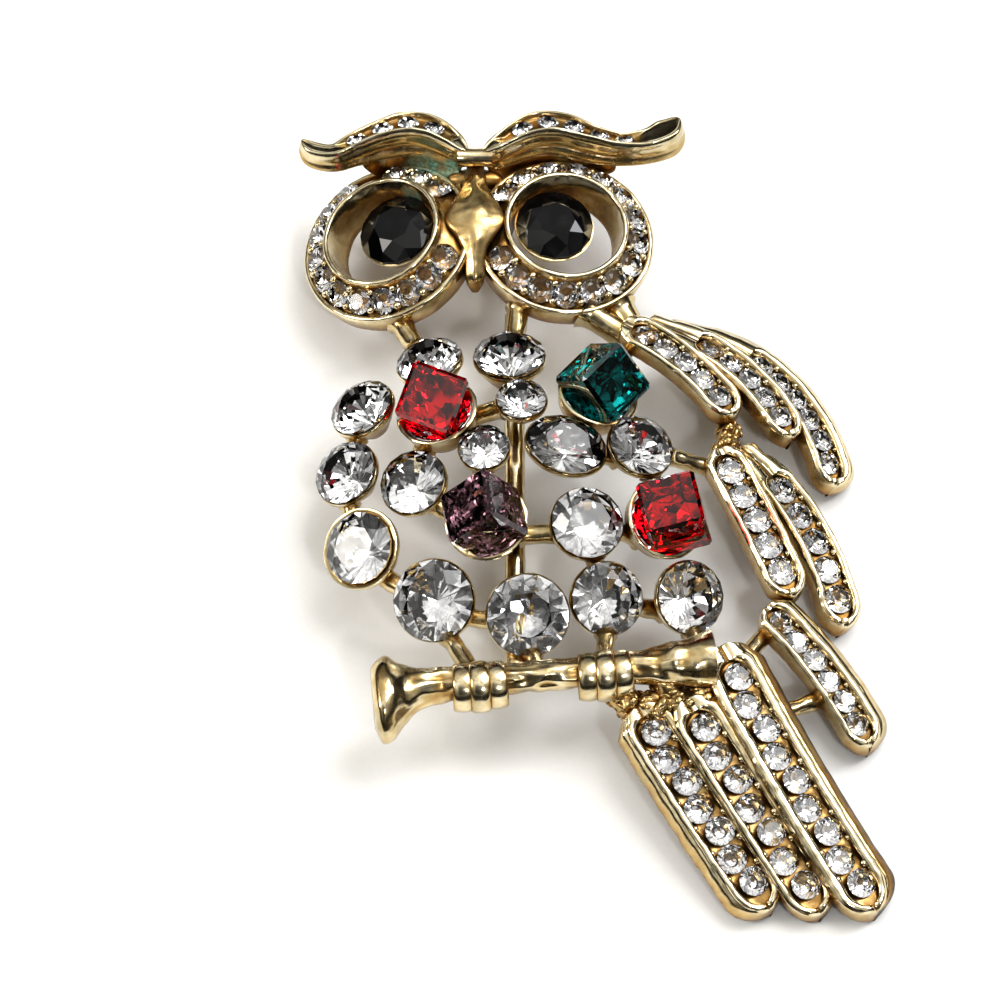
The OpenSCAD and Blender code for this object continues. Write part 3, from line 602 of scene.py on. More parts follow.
class Solid:
    """Closed forms in the making, in millimetres, with how dark each point is painted, by grime and painted
    shade, and how green it is.
    """

    def __init__(self) -> None:
        """Starts empty."""
        self.points: list[np.ndarray] = []
        self.faces: list[list[int]] = []
        self.slots: list[int] = []
        self.recess: list[np.ndarray] = []
        self.bloom: list[np.ndarray] = []
        self.count = 0

    def add(
        self,
        points: np.ndarray,
        faces: Iterable[Sequence[int]],
        recess: np.ndarray | float = 0.0,
        bloom: np.ndarray | float = 0.0,
        slots: Sequence[int] | int = 0,
    ) -> None:
        """Adds points and the faces between them.

        Args:
            points: One row for each point.
            faces: Point numbers, counted within these points.
            recess: How dark each point is painted, 0 to 1: grime and painted shade in hollows, painted dark
                reflection on walls.
            bloom: How green each point is, 0 to 1.
            slots: The material slot of each face, or of all.
        """
        points = np.asarray(points, float)
        faces = [[i + self.count for i in f] for f in faces]
        self.points.append(points)
        self.faces += faces
        self.slots += [slots] * len(faces) if isinstance(slots, int) else list(slots)
        self.recess.append(np.broadcast_to(np.asarray(recess, float), (len(points),)))
        self.bloom.append(np.broadcast_to(np.asarray(bloom, float), (len(points),)))
        self.count += len(points)

    def loft(self, rings: Sequence[np.ndarray], closed: bool = False) -> None:
        """Adds a body through rings of as many points each.

        Args:
            rings: Rows of x, y, z and, where given, recess and bloom.
            closed: True if the last ring joins the first, so that there are no ends.
        """
        n, m = len(rings), len(rings[0])
        rows = np.concatenate(rings)
        faces = band_faces(n, m, closed)
        if not closed:
            faces += [list(range(m - 1, -1, -1)), list(range((n - 1) * m, n * m))]
        recess = rows[:, 3] if rows.shape[1] > 3 else 0.0
        bloom = rows[:, 4] if rows.shape[1] > 4 else 0.0
        self.add(rows[:, :3], faces, recess, bloom)

    def lathe(
        self, profile: Sequence[Sequence[float]], place: Matrix, sides: int = 48, stretch: float = 1.0
    ) -> None:
        """Adds a turned form.

        Args:
            profile: Rows of radius, height and recess, from the bottom on the axis to the top on
                the axis.
            place: The matrix from the form's own axes.
            sides: Points round the axis.
            stretch: How much longer it is along X.
        """
        rows = np.array(profile, float)
        a = np.arange(sides) * 2 * pi / sides
        rings = [
            np.stack([r * stretch * np.cos(a), r * np.sin(a), np.full(sides, z), np.full(sides, d)], axis=1)
            for r, z, d in rows[1:-1]
        ]
        n, last = len(rings), (len(rings) - 1) * sides
        all_rows = np.concatenate([*rings, [[0, 0, *rows[0][1:]], [0, 0, *rows[-1][1:]]]])
        faces = band_faces(n, sides, closed=False)
        faces += [[n * sides, (j + 1) % sides, j] for j in range(sides)]
        faces += [[n * sides + 1, last + j, last + (j + 1) % sides] for j in range(sides)]
        self.add(moved(all_rows[:, :3], place), faces, all_rows[:, 3])

    def build(
        self,
        name: str,
        finishes: Sequence[Material],
        smooth: float | None = 35.0,
        lumps: Sequence[tuple[float, float]] = (),
    ) -> Object:
        """Makes the object.

        Args:
            name: The object's name.
            finishes: Its materials, by slot.
            smooth: The angle in degrees under which edges are shaded smooth, or None for flat.
            lumps: Unevenness of the casting, as pairs of size and height in millimetres.

        Returns:
            The object, with its place in its mesh.
        """
        points = np.concatenate(self.points)
        mesh = bpy.data.meshes.new(name)
        mesh.from_pydata((points * MM).tolist(), [], self.faces)
        for material in finishes:
            mesh.materials.append(material)
        mesh.polygons.foreach_set("material_index", self.slots)
        for label, values in (("recess", self.recess), ("bloom", self.bloom)):
            attribute = mesh.attributes.new(label, "FLOAT", "POINT")
            attribute.data.foreach_set("value", np.concatenate(values))
        face_out(mesh)
        if lumps:
            normals = np.empty(len(points) * 3)
            mesh.vertex_normals.foreach_get("vector", normals)
            rise = [sum(high * uneven(p, size, 7.3) for size, high in lumps) for p in points]
            out = points + normals.reshape(-1, 3) * np.array(rise)[:, None]
            mesh.vertices.foreach_set("co", (out * MM).ravel())
        if smooth is None:
            mesh.shade_flat()
        else:
            mesh.shade_smooth()
            mesh.set_sharp_from_angle(angle=radians(smooth))
        mesh.update()
        return add_object(name, mesh)


def settle(obj: Object, node: Sequence[str], slot: str, label: str) -> None:
    """Rides the piece on the body, hides the CAD nodes that it stands for and reports it.

    Args:
        obj: The piece.
        node: The CAD nodes that it stands for.
        slot: The record's material slot; not used.
        label: What the log calls it.
    """
    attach(obj, BODY)
    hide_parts(*node)
    LOG.info("%s: %s, %d faces", label, obj.name, len(obj.data.polygons))


# Geometry Nodes trees


class NodeRecipe:
    """A Geometry Nodes tree with named inputs, run once and turned into a plain mesh."""

    def __init__(self, name: str, sizes: dict[str, object], metal: bool = True) -> None:
        """Makes the tree with its geometry input and output and its named inputs.

        Args:
            name: The tree's name.
            sizes: The named inputs: a whole number, another number, or the type of the socket.
            metal: True if it has an input for one metal.
        """
        self.tree = bpy.data.node_groups.new(name, "GeometryNodeTree")
        sockets = self.tree.interface
        sockets.new_socket("Geometry", in_out="INPUT", socket_type="NodeSocketGeometry")
        sockets.new_socket("Geometry", in_out="OUTPUT", socket_type="NodeSocketGeometry")
        self.ids: dict[str, str] = {}
        for key, value in (sizes | ({"Metal": "Material"} if metal else {})).items():
            kind = {int: "Int", float: "Float"}.get(type(value), value)
            item = sockets.new_socket(key, in_out="INPUT", socket_type=f"NodeSocket{kind}")
            if kind != value:
                item.default_value = value
            self.ids[key] = item.identifier
        self.given = add_node(self.tree, "NodeGroupInput").outputs

    def node(self, kind: str, inputs: dict[str | int, object] | None = None, **settings: object) -> Node:
        """Adds a node to this tree."""
        return add_node(self.tree, kind, inputs, **settings)

    def end(self, geometry: Node, finishes: dict[str, str]) -> None:
        """Ends the tree: it realizes the instances and sets the materials.

        Args:
            geometry: The node that gives what the tree made.
            finishes: For each material input the attribute of the faces that take it, empty for
                all faces.
        """
        last = self.node("GeometryNodeRealizeInstances", {"Geometry": geometry})
        for name, chosen in finishes.items():
            inputs = {"Geometry": last, "Material": self.given[name]}
            if chosen:
                inputs["Selection"] = self.node(
                    "GeometryNodeInputNamedAttribute", {"Name": chosen}, data_type="BOOLEAN"
                )
            last = self.node("GeometryNodeSetMaterial", inputs)
        self.node("NodeGroupOutput", {0: last})

    def run(self, source: Object, name: str, values: dict[str, object]) -> Object:
        """Runs the tree on an object and keeps only the plain mesh.

        Args:
            source: The object with the points, edges or faces that the tree starts from.
            name: The name of the result.
            values: The values of the named inputs.

        Returns:
            The new object. The source is gone.
        """
        modifier = source.modifiers.new("recipe", "NODES")
        modifier.node_group = self.tree
        for key, value in values.items():
            modifier[self.ids[key]] = value
        bpy.context.view_layer.update()
        graph = bpy.context.evaluated_depsgraph_get()
        mesh = bpy.data.meshes.new_from_object(
            source.evaluated_get(graph), preserve_all_data_layers=True, depsgraph=graph
        )
        mesh.name = name
        source.modifiers.clear()
        bpy.data.objects.remove(source)
        return add_object(name, mesh)


def point_cloud(
    name: str,
    points: Sequence[Sequence[float]],
    edges: Sequence[tuple[int, int]] = (),
    **columns: Sequence[object],
) -> Object:
    """An object of bare points or edges for a tree to start from.

    Args:
        name: The object's name.
        points: Places in millimetres.
        edges: Pairs of points.
        columns: Attributes of the points, numbers or rows of three.

    Returns:
        The object.
    """
    mesh = bpy.data.meshes.new(name)
    mesh.from_pydata([[c * MM for c in p] for p in points], list(edges), [])
    for label, values in columns.items():
        if isinstance(values[0], (int, float)):
            mesh.attributes.new(label, "FLOAT", "POINT").data.foreach_set("value", list(values))
        else:
            flat = [c for v in values for c in v]
            mesh.attributes.new(label, "FLOAT_VECTOR", "POINT").data.foreach_set("vector", flat)
    return add_object(name, mesh)


class StoneRowRecipe(NodeRecipe):
    """Sets one small stone on each point of a row, turned at random about its own axis."""

    def __init__(self) -> None:
        """Builds the tree."""
        sizes = {
            "Stone": "Object", "Diameter": 2 * MM, "Seed": 1, "Glass": "Material", "Foil": "Material"
        }
        super().__init__("pave_row", sizes, metal=False)
        given = self.given
        stone = self.node("GeometryNodeObjectInfo", {"Object": given["Stone"]})
        lean = self.node("GeometryNodeInputNamedAttribute", {"Name": "lean"}, data_type="FLOAT_VECTOR")
        leaning = self.node("FunctionNodeEulerToRotation", {0: lean})
        spin = self.node(
            "FunctionNodeRandomValue", {2: 0.0, 3: 2 * pi, "Seed": given["Seed"]}, data_type="FLOAT"
        )
        about = self.node(
            "FunctionNodeAxisAngleToRotation", {"Axis": (0, 0, 1), "Angle": spin.outputs[1]}
        )
        whole = self.node("FunctionNodeRotateRotation", {0: leaning, 1: about}, rotation_space="LOCAL")
        placed = self.node(
            "GeometryNodeInstanceOnPoints",
            {
                "Points": given["Geometry"], "Instance": stone.outputs["Geometry"], "Rotation": whole,
                "Scale": given["Diameter"],
            },
        )
        self.end(placed, {"Glass": "", "Foil": "foiled"})


class BeadRecipe(NodeRecipe):
    """Sets a small drop of metal on each point, each of its own size."""

    def __init__(self) -> None:
        """Builds the tree."""
        super().__init__("setting_beads", {"Radius": 0.25 * MM, "Seed": 3})
        given = self.given
        drop = self.node("GeometryNodeMeshIcoSphere", {"Radius": given["Radius"], "Subdivisions": 3})
        scale = self.node(
            "FunctionNodeRandomValue", {2: 0.75, 3: 1.15, "Seed": given["Seed"]}, data_type="FLOAT"
        )
        placed = self.node(
            "GeometryNodeInstanceOnPoints",
            {"Points": given["Geometry"], "Instance": drop, "Scale": scale.outputs[1]},
        )
        smooth = self.node("GeometryNodeSetShadeSmooth", {0: placed})
        self.end(smooth, {"Metal": ""})


class StrutRecipe(NodeRecipe):
    """Turns each edge into a round bar of cast metal that swells into what it joins."""

    def __init__(self) -> None:
        """Builds the tree."""
        sizes = {"Step": 0.25 * MM, "Flare": 0.5, "Unevenness": 0.16 * MM, "Lump": 1.2 * MM}
        super().__init__("cast_struts", sizes)
        given = self.given
        lines = self.node("GeometryNodeMeshToCurve", {"Mesh": given["Geometry"]})
        fine = self.node(
            "GeometryNodeResampleCurve", {"Curve": lines, "Length": given["Step"]}, mode="LENGTH"
        )
        along = self.node("GeometryNodeSplineParameter")
        centred = self.node(MATH, {0: along.outputs["Factor"], 1: 2.0, 2: -1.0}, operation="MULTIPLY_ADD")
        power = self.node(MATH, {0: centred, 1: 6.0}, operation="POWER")
        swell = self.node(MATH, {0: power, 1: given["Flare"], 2: 1.0}, operation="MULTIPLY_ADD")
        thick = self.node("GeometryNodeInputNamedAttribute", {"Name": "thickness"}, data_type="FLOAT")
        radius = self.node(MATH, {0: thick, 1: swell}, operation="MULTIPLY")
        ring = self.node("GeometryNodeCurvePrimitiveCircle", {"Resolution": 16, "Radius": 0.5})
        bar = self.node(
            "GeometryNodeCurveToMesh",
            {"Curve": fine, "Profile Curve": ring, "Scale": radius, "Fill Caps": True},
        )
        inverse = self.node(MATH, {0: 1.0, 1: given["Lump"]}, operation="DIVIDE")
        where = self.node("GeometryNodeInputPosition")
        cloud = self.node("ShaderNodeTexNoise", {"Vector": where, "Scale": inverse, "Detail": 1.0})
        rise = self.node(MATH, {0: cloud, 1: 0.5}, operation="SUBTRACT")
        high = self.node(MATH, {0: rise, 1: given["Unevenness"]}, operation="MULTIPLY")
        normal = self.node("GeometryNodeInputNormal")
        push = self.node("ShaderNodeVectorMath", {0: normal, "Scale": high}, operation="SCALE")
        rough = self.node("GeometryNodeSetPosition", {"Geometry": bar, "Offset": push})
        smooth = self.node("GeometryNodeSetShadeSmooth", {0: rough})
        # Grime and painted shade: the bars are darkened a little all over.
        hollow = self.node(
            "GeometryNodeStoreNamedAttribute", {"Geometry": smooth, "Name": "recess", "Value": 0.14},
            data_type="FLOAT", domain="POINT",
        )
        self.end(hollow, {"Metal": ""})


class NuggetRecipe(NodeRecipe):
    """Covers a lump of metal with grains, as the casting has where the tail starts."""

    def __init__(self) -> None:
        """Builds the tree."""
        super().__init__("nugget_texture", {"Grain": 0.3 * MM, "Spacing": 0.42 * MM, "Seed": 5})
        given = self.given
        spread = self.node(
            "GeometryNodeDistributePointsOnFaces",
            {
                "Mesh": given["Geometry"], "Distance Min": given["Spacing"], "Density Max": 6.0e6,
                "Seed": given["Seed"],
            },
            distribute_method="POISSON",
        )
        grain = self.node("GeometryNodeMeshIcoSphere", {"Radius": given["Grain"], "Subdivisions": 2})
        scale = self.node(
            "FunctionNodeRandomValue", {0: (0.5, 0.5, 0.2), 1: (1.6, 1.3, 0.7), "Seed": given["Seed"]},
            data_type="FLOAT_VECTOR",
        )
        placed = self.node(
            "GeometryNodeInstanceOnPoints",
            {"Points": spread, "Instance": grain, "Rotation": spread.outputs["Rotation"], "Scale": scale},
        )
        both = self.node("GeometryNodeJoinGeometry", {0: placed})
        self.tree.links.new(given["Geometry"], both.inputs[0])
        smooth = self.node("GeometryNodeSetShadeSmooth", {0: both})
        self.end(smooth, {"Metal": ""})


# Cut stones


@dataclass(frozen=True)
class BrilliantCut:
    """A round stone: its proportions as shares of its diameter."""

    table: float = 0.58
    crown: float = 0.15
    pavilion: float = 0.42
    band: float = 0.02
    star: float = 0.8

    def add_to(self, solid: Solid, diameter: float, place: Matrix, long: float = 1.0) -> None:
        """Adds the stone: the crown in slot 0 and the foiled back in slot 1.

        Args:
            solid: Where it is added.
            diameter: Its width.
            place: The matrix from its own axes, with the girdle at zero.
            long: How much longer it is along X.
        """
        r = diameter / 2
        table_r, star_r = r * self.table, r * self.star
        high = diameter * (self.band + self.crown)
        star_z = diameter * self.band + diameter * self.crown * (
            r - star_r * cos(radians(22.5))
        ) / (r - table_r)
        low_r, low_z = r * 0.36, -diameter * self.pavilion * 0.66

        def ring(n: int, radius: float, z: float, start: float = 0.0) -> np.ndarray:
            """A level ring of n points."""
            a = np.radians(start) + np.arange(n) * 2 * pi / n
            return np.stack([radius * np.cos(a), radius * np.sin(a), np.full(n, z)], axis=1)

        points = np.concatenate(
            [
                ring(16, r, -diameter * self.band),
                ring(16, r, diameter * self.band),
                ring(8, star_r, star_z, 22.5),
                ring(8, table_r, high),
                ring(8, low_r, low_z, 22.5),
                np.array([[0, 0, -diameter * self.pavilion]]),
            ]
        )
        points[:, 0] *= long
        faces: list[list[int]] = []
        slots: list[int] = []
        for i in range(16):
            faces.append([i, (i + 1) % 16, 16 + (i + 1) % 16, 16 + i])
            slots.append(1)
        for i in range(8):
            a, b, c = 16 + 2 * i, 17 + 2 * i, 16 + (2 * i + 2) % 16
            star, after = 32 + i, 40 + (i + 1) % 8
            faces += [[a, b, star], [b, c, star], [a, star, 40 + i], [star, c, after], [star, after, 40 + i]]
            slots += [0] * 5
        faces.append([40 + i for i in range(8)])
        slots.append(0)
        for i in range(8):
            a, b, c = 2 * i, 2 * i + 1, (2 * i + 2) % 16
            low, before = 48 + i, 48 + (i - 1) % 8
            faces += [[b, a, low], [c, b, low], [a, 56, low], [a, before, 56]]
            slots += [1] * 4
        solid.add(moved(points, place), faces, slots=slots)


def pave_stone(finishes: Finishes) -> Object:
    """One small stone, one metre across, that the rows repeat.

    Args:
        finishes: The materials.

    Returns:
        The object, out of the scene.
    """
    solid = Solid()
    cut = BrilliantCut(pavilion=LAYOUT.small_pavilion, table=0.6, crown=0.16)
    cut.add_to(solid, 1.0, Matrix.Identity(4))
    mesh = bpy.data.meshes.new("pave_stone")
    mesh.from_pydata(np.concatenate(solid.points).tolist(), [], solid.faces)
    foiled = mesh.attributes.new("foiled", "BOOLEAN", "FACE")
    foiled.data.foreach_set("value", [k == 1 for k in solid.slots])
    mesh.materials.append(finishes.clear)
    face_out(mesh)
    mesh.shade_flat()
    return bpy.data.objects.new("pave_stone", mesh)


# Layout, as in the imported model's own source


@dataclass(frozen=True)
class Layout:
    """Sizes that several sub-assemblies share, in millimetres and degrees."""

    owl_l: float = 70.8
    owl_w: float = 48.8
    chest_h: float = 10.6
    chest_dome_r: float = 42.0
    cup_lean: float = 1.5
    stone_clear: float = 0.08
    row_gap: float = 0.12
    rim_w: float = 0.4
    rim_h: float = 0.25
    floor_t: float = 0.9
    small_pavilion: float = 0.38
    pavilion: float = 0.42
    strut_d: float = 1.3

    def at_share(self, across: float, along: float) -> tuple[float, float]:
        """A place given in percent of the width and the length."""
        return across / 100 * self.owl_w, along / 100 * self.owl_l

    def dome_centre(self) -> tuple[float, float]:
        """Where the chest is fullest."""
        return -0.113 * self.owl_w, 0.028 * self.owl_l

    def dome_h(self, p: Sequence[float]) -> float:
        """Height of the chest's dome over a place."""
        cx, cy = self.dome_centre()
        return self.chest_h - ((p[0] - cx) ** 2 + (p[1] - cy) ** 2) / (2 * self.chest_dome_r)

    def dome_turn(self, p: Sequence[float]) -> Matrix:
        """How a cup leans on the dome.

        Args:
            p: The cup's place.

        Returns:
            The matrix.
        """
        cx, cy = self.dome_centre()
        lean_x = -self.cup_lean * degrees(math.atan((p[1] - cy) / self.chest_dome_r))
        lean_y = self.cup_lean * degrees(math.atan((p[0] - cx) / self.chest_dome_r))
        return turn(lean_x, lean_y, 0)


LAYOUT = Layout()


# Feathers


RIDGE_IN = 0.58
RIDGE_OUT = 0.12
TIP_LONG = 0.62
TIP_RIM = 0.62
SEAT_DEPTH = 0.3
PIT_ROOM = 0.2
BEAD_H = -0.08
PAVE_SHOWN = 1.1
BAR_SHOWN = 1.15


def pit(stone_d: float, gap: float) -> float:
    """Depth under the girdles of the floor that the stones of a row are sunk in.

    Args:
        stone_d: Diameter of the stones.
        gap: How far the nearest stone's axis is.

    Returns:
        The depth: a cone under each stone, and shallow between them.
    """
    share = max(0.0, 1 - gap / (stone_d / 2))
    return max(SEAT_DEPTH, LAYOUT.small_pavilion * stone_d * share + PIT_ROOM)


@dataclass(frozen=True)
class FeatherGroup:
    """A group of feathers that start from one place."""

    across: float
    along: float
    heading: float
    longest: float
    stone_d: float
    slack: float
    # Darkness painted on the channel floors: grime and painted shade.
    floor: float = 0.46


UPPER = FeatherGroup(7.4, 22.4, -27, 20.9, 1.9, 0.1)
MIDDLE = FeatherGroup(23.2, 6.1, -64, 17.4, 2.25, 0.1)
LOWER = FeatherGroup(30.7, -14.0, -44, 13.6, 1.9, 0.1)
TAIL = FeatherGroup(8.6, -27.3, -60, 23.8, 2.2, 0.3, 0.28)


@dataclass
class Feather:
    """One feather: a channel with raised rims and a row of stones along it."""

    name: str
    group: FeatherGroup
    start_along: float
    start_across: float
    heading: float
    bend: float
    share: float
    bare: float
    root_h: float
    lift: float
    roll: float
    flare: float
    seed: int = 1
    wave: float = 0.0
    ridge_left: float = RIDGE_OUT
    ridge_right: float = RIDGE_OUT
    # Darkness painted on the outer wall: painted shade and painted dark reflection.
    wall: float = 0.38

    @property
    def width(self) -> float:
        """Width over the rims."""
        lay = LAYOUT
        return self.group.stone_d + 2 * (lay.stone_clear + self.group.slack + lay.rim_w)

    @property
    def length(self) -> float:
        """Length of the feather."""
        return self.share * self.group.longest

    @property
    def depth(self) -> float:
        """Depth of the metal under the girdles."""
        return self.group.stone_d * LAYOUT.small_pavilion + LAYOUT.stone_clear + LAYOUT.floor_t

    def start(self) -> tuple[float, float]:
        """Where the feather starts.

        Returns:
            Its x and y.
        """
        g = self.group
        px, py = LAYOUT.at_share(g.across, g.along)
        a, c = self.start_along * g.longest, self.start_across * self.width
        h = radians(g.heading)
        return px + a * cos(h) - c * sin(h), py + a * sin(h) + c * cos(h)

    def tip_h(self) -> float:
        """Height of the girdles at the tip.

        Returns:
            The height.
        """
        roll = radians(self.roll)
        return (self.lift + self.depth * cos(roll) + (self.width / 2 + abs(self.flare)) * abs(sin(roll)))

    def at(self, s: float) -> tuple[float, float, float]:
        """A place on the girdle line.

        Args:
            s: Share of the length.

        Returns:
            Its x, y and z.
        """
        x, y = arc_at(self.start(), self.heading, self.bend, self.length, s)
        bow = 4 * s * (1 - s) * 0.35
        return x, y, self.root_h + (self.tip_h() - self.root_h) * s + bow

    def nearest(self, s: float) -> tuple[float, float]:
        """Finds the stone that is nearest along the feather.

        Args:
            s: Share of the length.

        Returns:
            How far along the stone is, and how far aside it sits.
        """
        gaps = [(abs(s - share) * self.length, k) for k, share in enumerate(self.shares())]
        gap, k = min(gaps)
        return gap, self.aside(k)

    def aside(self, k: int) -> float:
        """How far stone k sits to the side of the middle."""
        return self.group.slack * (0.8 if k % 2 == 0 else -0.8)

    def shares(self) -> list[float]:
        """Where the stones sit.

        Returns:
            Their shares of the length.
        """
        lay, d, l = LAYOUT, self.group.stone_d, self.length
        first = self.bare + (lay.rim_w * 0.6 + lay.stone_clear * 2 + d / 2) / l
        last = 1 - (self.width * 0.33 + lay.stone_clear * 2 + d / 2) / l
        n = math.floor((last - first) * l / (d + lay.row_gap))
        return [first + (last - first) * k / n for k in range(n + 1)]

    def foot(self, s: float, d: float) -> np.ndarray:
        """Middle of a bar of thickness d that ties the feather from below."""
        x, y, z = self.at(s)
        return np.array([x, y, z - (self.depth - LAYOUT.floor_t + d / 2 + 0.05)])

    def section(self, s: float, width: float, opening: float) -> np.ndarray:
        """The rounded section across the feather.

        Args:
            s: Share of the length.
            width: Share of the full width.
            opening: Share of the channel's full width, 0 where it is closed.

        Returns:
            Rows of x, y, z and recess.
        """
        grow, fill = width, 0.0 if opening > 0 else 1.0
        wl = self.width / 2 * width + self.ridge_left * grow
        wr = self.width / 2 * width + self.ridge_right * grow
        channel = max(0.06, (self.width / 2 - RIDGE_IN) * opening)
        rl, rr = max(0.1, wl - channel), max(0.1, wr - channel)
        deep, top = self.depth, LAYOUT.rim_h + 0.14
        gap, side = self.nearest(s)
        edge = (wl + wr - rl - rr) / 2
        low = -pit(self.group.stone_d, hypot(gap, edge)) * (1 - fill) + (top - 0.1) * fill
        deepest = -pit(self.group.stone_d, gap) * (1 - fill) + (top - 0.06) * fill
        floor = self.group.floor * (1 - fill)
        outer, inner = max(self.flare, 0) * width, max(-self.flare, 0) * width
        x, y, z = self.at(s)
        ripple = 0.07 * uneven((x, y, z), 1.7, self.seed)
        ruffle = 0.06 * uneven((x, y, z), 0.8, self.seed + 4)
        wavy = self.wave * width * (1 + 2.2 * uneven((x, y, z), 0.9, self.seed))
        # The third column darkens the metal: grime and painted shade on the channel floor and at the foot of
        # the walls, painted dark reflection on the outer wall.
        raw = np.array(
            [
                [-(wl + inner - 0.3), -deep, 0.85], [-(wl + inner) - wavy, -deep * 0.62, 0.62],
                [-(wl + inner * 0.85) - wavy, -deep * 0.25, 0.38],
                [-(wl + inner * 0.3) - wavy * 0.5, top * 0.5, 0.1],
                [-(wl - rl * 0.04) - ruffle, top - 0.14, 0.05],
                [-(wl - rl * 0.28) - ruffle, top + 0.08 + ripple, 0.0],
                [-(wl - rl * 0.64) - ruffle, top + 0.08 + ripple, 0.0],
                [-(wl - rl * 0.92) - ruffle * 0.5, top - 0.1, 0.08], [-(wl - rl * 1.0), top * 0.15, 0.18],
                [-(wl - rl * 1.08), low, floor], [-0.25 + side, deepest, floor * 0.8],
                [0.25 + side, deepest, floor * 0.8], [wr - rr * 1.08, low, floor],
                [wr - rr * 1.0, top * 0.15, 0.18], [wr - rr * 0.92 + ruffle * 0.5, top - 0.1, 0.08],
                [wr - rr * 0.64 + ruffle, top + 0.08 - ripple, 0.0],
                [wr - rr * 0.28 + ruffle, top + 0.08 - ripple, 0.0],
                [wr - rr * 0.04 + ruffle, top - 0.14, 0.05],
                [wr + outer * 0.3, top * 0.5, max(0.1, self.wall * 0.75 - 0.2)],
                [wr + outer * 0.85, -deep * 0.25, self.wall],
                [wr + outer, -deep * 0.62, self.wall + 0.22], [wr + outer - 0.3, -deep, 0.85],
            ]
        )
        if width < 0.5:
            raw[:, 1] = np.where(raw[:, 1] > 0, raw[:, 1] * (2 * width), raw[:, 1])
        raw = corner_cut(raw, 2)
        roll, heading = radians(self.roll), radians(self.heading + self.bend * s)
        return np.column_stack([on_line(raw, (x, y, z), roll, heading), raw[:, 2]])

    def metal(self, solid: Solid) -> None:
        """Adds the feather's channel.

        Args:
            solid: Where it is added.
        """
        long, end = self.length, LAYOUT.rim_w
        tip, inner = self.width * TIP_LONG, self.width / 2 - RIDGE_IN
        first = self.bare * long + 0.05
        root = [(-end, 0.3), (-end * 0.6, 0.55), (0.0, 0.72), (max(0.1, first * 0.5), 0.8)]
        root.append((first + end, 1.0))
        if self.bare > 0.1:
            root.insert(3, (first * 0.4, 0.62))
        xs, ws = zip(*sorted(root))
        places = list(np.linspace(-end, first, 12))
        places += [first + inner * (1 - cos(q)) for q in np.linspace(0.1, 1.57, 10)]
        places += list(np.linspace(first + inner, long - tip, int(long / 0.2)))[1:]
        places += [long - tip + tip * sin(radians(q)) for q in (*range(6, 90, 4), 89)]
        rings = []
        for d in places:
            width = float(np.interp(d, xs, ws))
            opening = sqrt(max(0.0, 1 - (1 - min(1.0, max(0.0, d - first) / inner)) ** 2))
            if d > long - tip:
                t = (d - long + tip) / tip
                width = max(0.05, sqrt(max(0.0, 1 - t**1.9)))
                t = min(1.0, (d - long + tip) / (tip - TIP_RIM))
                opening = sqrt(max(0.0, 1 - t**1.9))
            rings.append(self.section(d / long, width, opening))
        solid.loft(rings)

    def stones(self) -> list[Matrix]:
        """The matrices of the small stones."""
        return [self.frame(s) @ shift(0, self.aside(k), 0) for k, s in enumerate(self.shares())]

    def frame(self, s: float) -> Matrix:
        """The matrix of a stone's own axes on the girdle line.

        Args:
            s: Share of the length.

        Returns:
            The matrix.
        """
        ahead, behind = self.at(min(1, s + 0.02)), self.at(max(0, s - 0.02))
        pitch = degrees(
            math.atan2(ahead[2] - behind[2], hypot(ahead[0] - behind[0], ahead[1] - behind[1]))
        )
        return (
            shift(*self.at(s))
            @ turn(0, 0, self.heading + self.bend * s)
            @ turn(0, -pitch, 0)
            @ turn(-self.roll, 0, 0)
        )

    def beads(self) -> list[tuple[float, float, float]]:
        """The drops of metal that hold the stones, between neighbours.

        Returns:
            Their places.
        """
        shares, side = self.shares(), self.width / 2 - LAYOUT.rim_w * 1.25
        return [
            tuple(self.frame((a + b) / 2) @ Vector((0, sign * side, BEAD_H)))
            for a, b in zip(shares, shares[1:])
            for sign in (-1, 1)
        ]


def feathers() -> list[Feather]:
    """The nine feathers.

    Returns:
        The feathers, each with the name of its row of stones.
    """
    return [
        Feather("wing_upper_a", UPPER, 0.00, 0.00, -27, -28, 0.58, 0.04, 7.8, 4.3, 10, 0, 1),
        Feather("wing_upper_b", UPPER, 0.08, 0.50, -15, -50, 0.76, 0.26, 7.0, 2.9, 16, 0, 2),
        Feather(
            "wing_upper_c", UPPER, 0.14, 0.76, -5, -78, 1.00, 0.345, 6.0, 0.0, 24, 0.9, 3, 0.0, 0.12, 0.3,
            wall=0.16,
        ),
        Feather("wing_middle_a", MIDDLE, 0.00, 0.00, -64, -3, 0.80, 0.02, 6.4, 2.7, 8, 0, 4),
        Feather("wing_middle_b", MIDDLE, 0.01, 0.66, -43, -38, 1.00, 0.18, 5.2, 0.0, 18, 0.2, 5),
        Feather("wing_lower", LOWER, 0.00, 0.00, -44, -18, 1.00, 0.00, 5.4, 0.0, 12, 1.25, 6),
        Feather("tail_a", TAIL, 0.00, 0.00, -60, 7, 0.78, 0.03, 6.2, 0.0, -6, -0.8, 7, 0.045, 0.12, 0.3),
        Feather("tail_b", TAIL, 0.065, 0.94, -59, 4, 0.81, 0.04, 6.6, 0.0, 0, 0.6, 8, 0.0, 0.12, 0.5),
        # Its outer wall is painted darkest: painted dark reflection.
        Feather(
            "tail_c", TAIL, -0.035, 2.18, -64, 9, 1.00, 0.04, 7.4, 0.0, 6, 1.3, 9, 0.0, 0.45, 0.2, wall=1.0
        ),
    ]


# Head


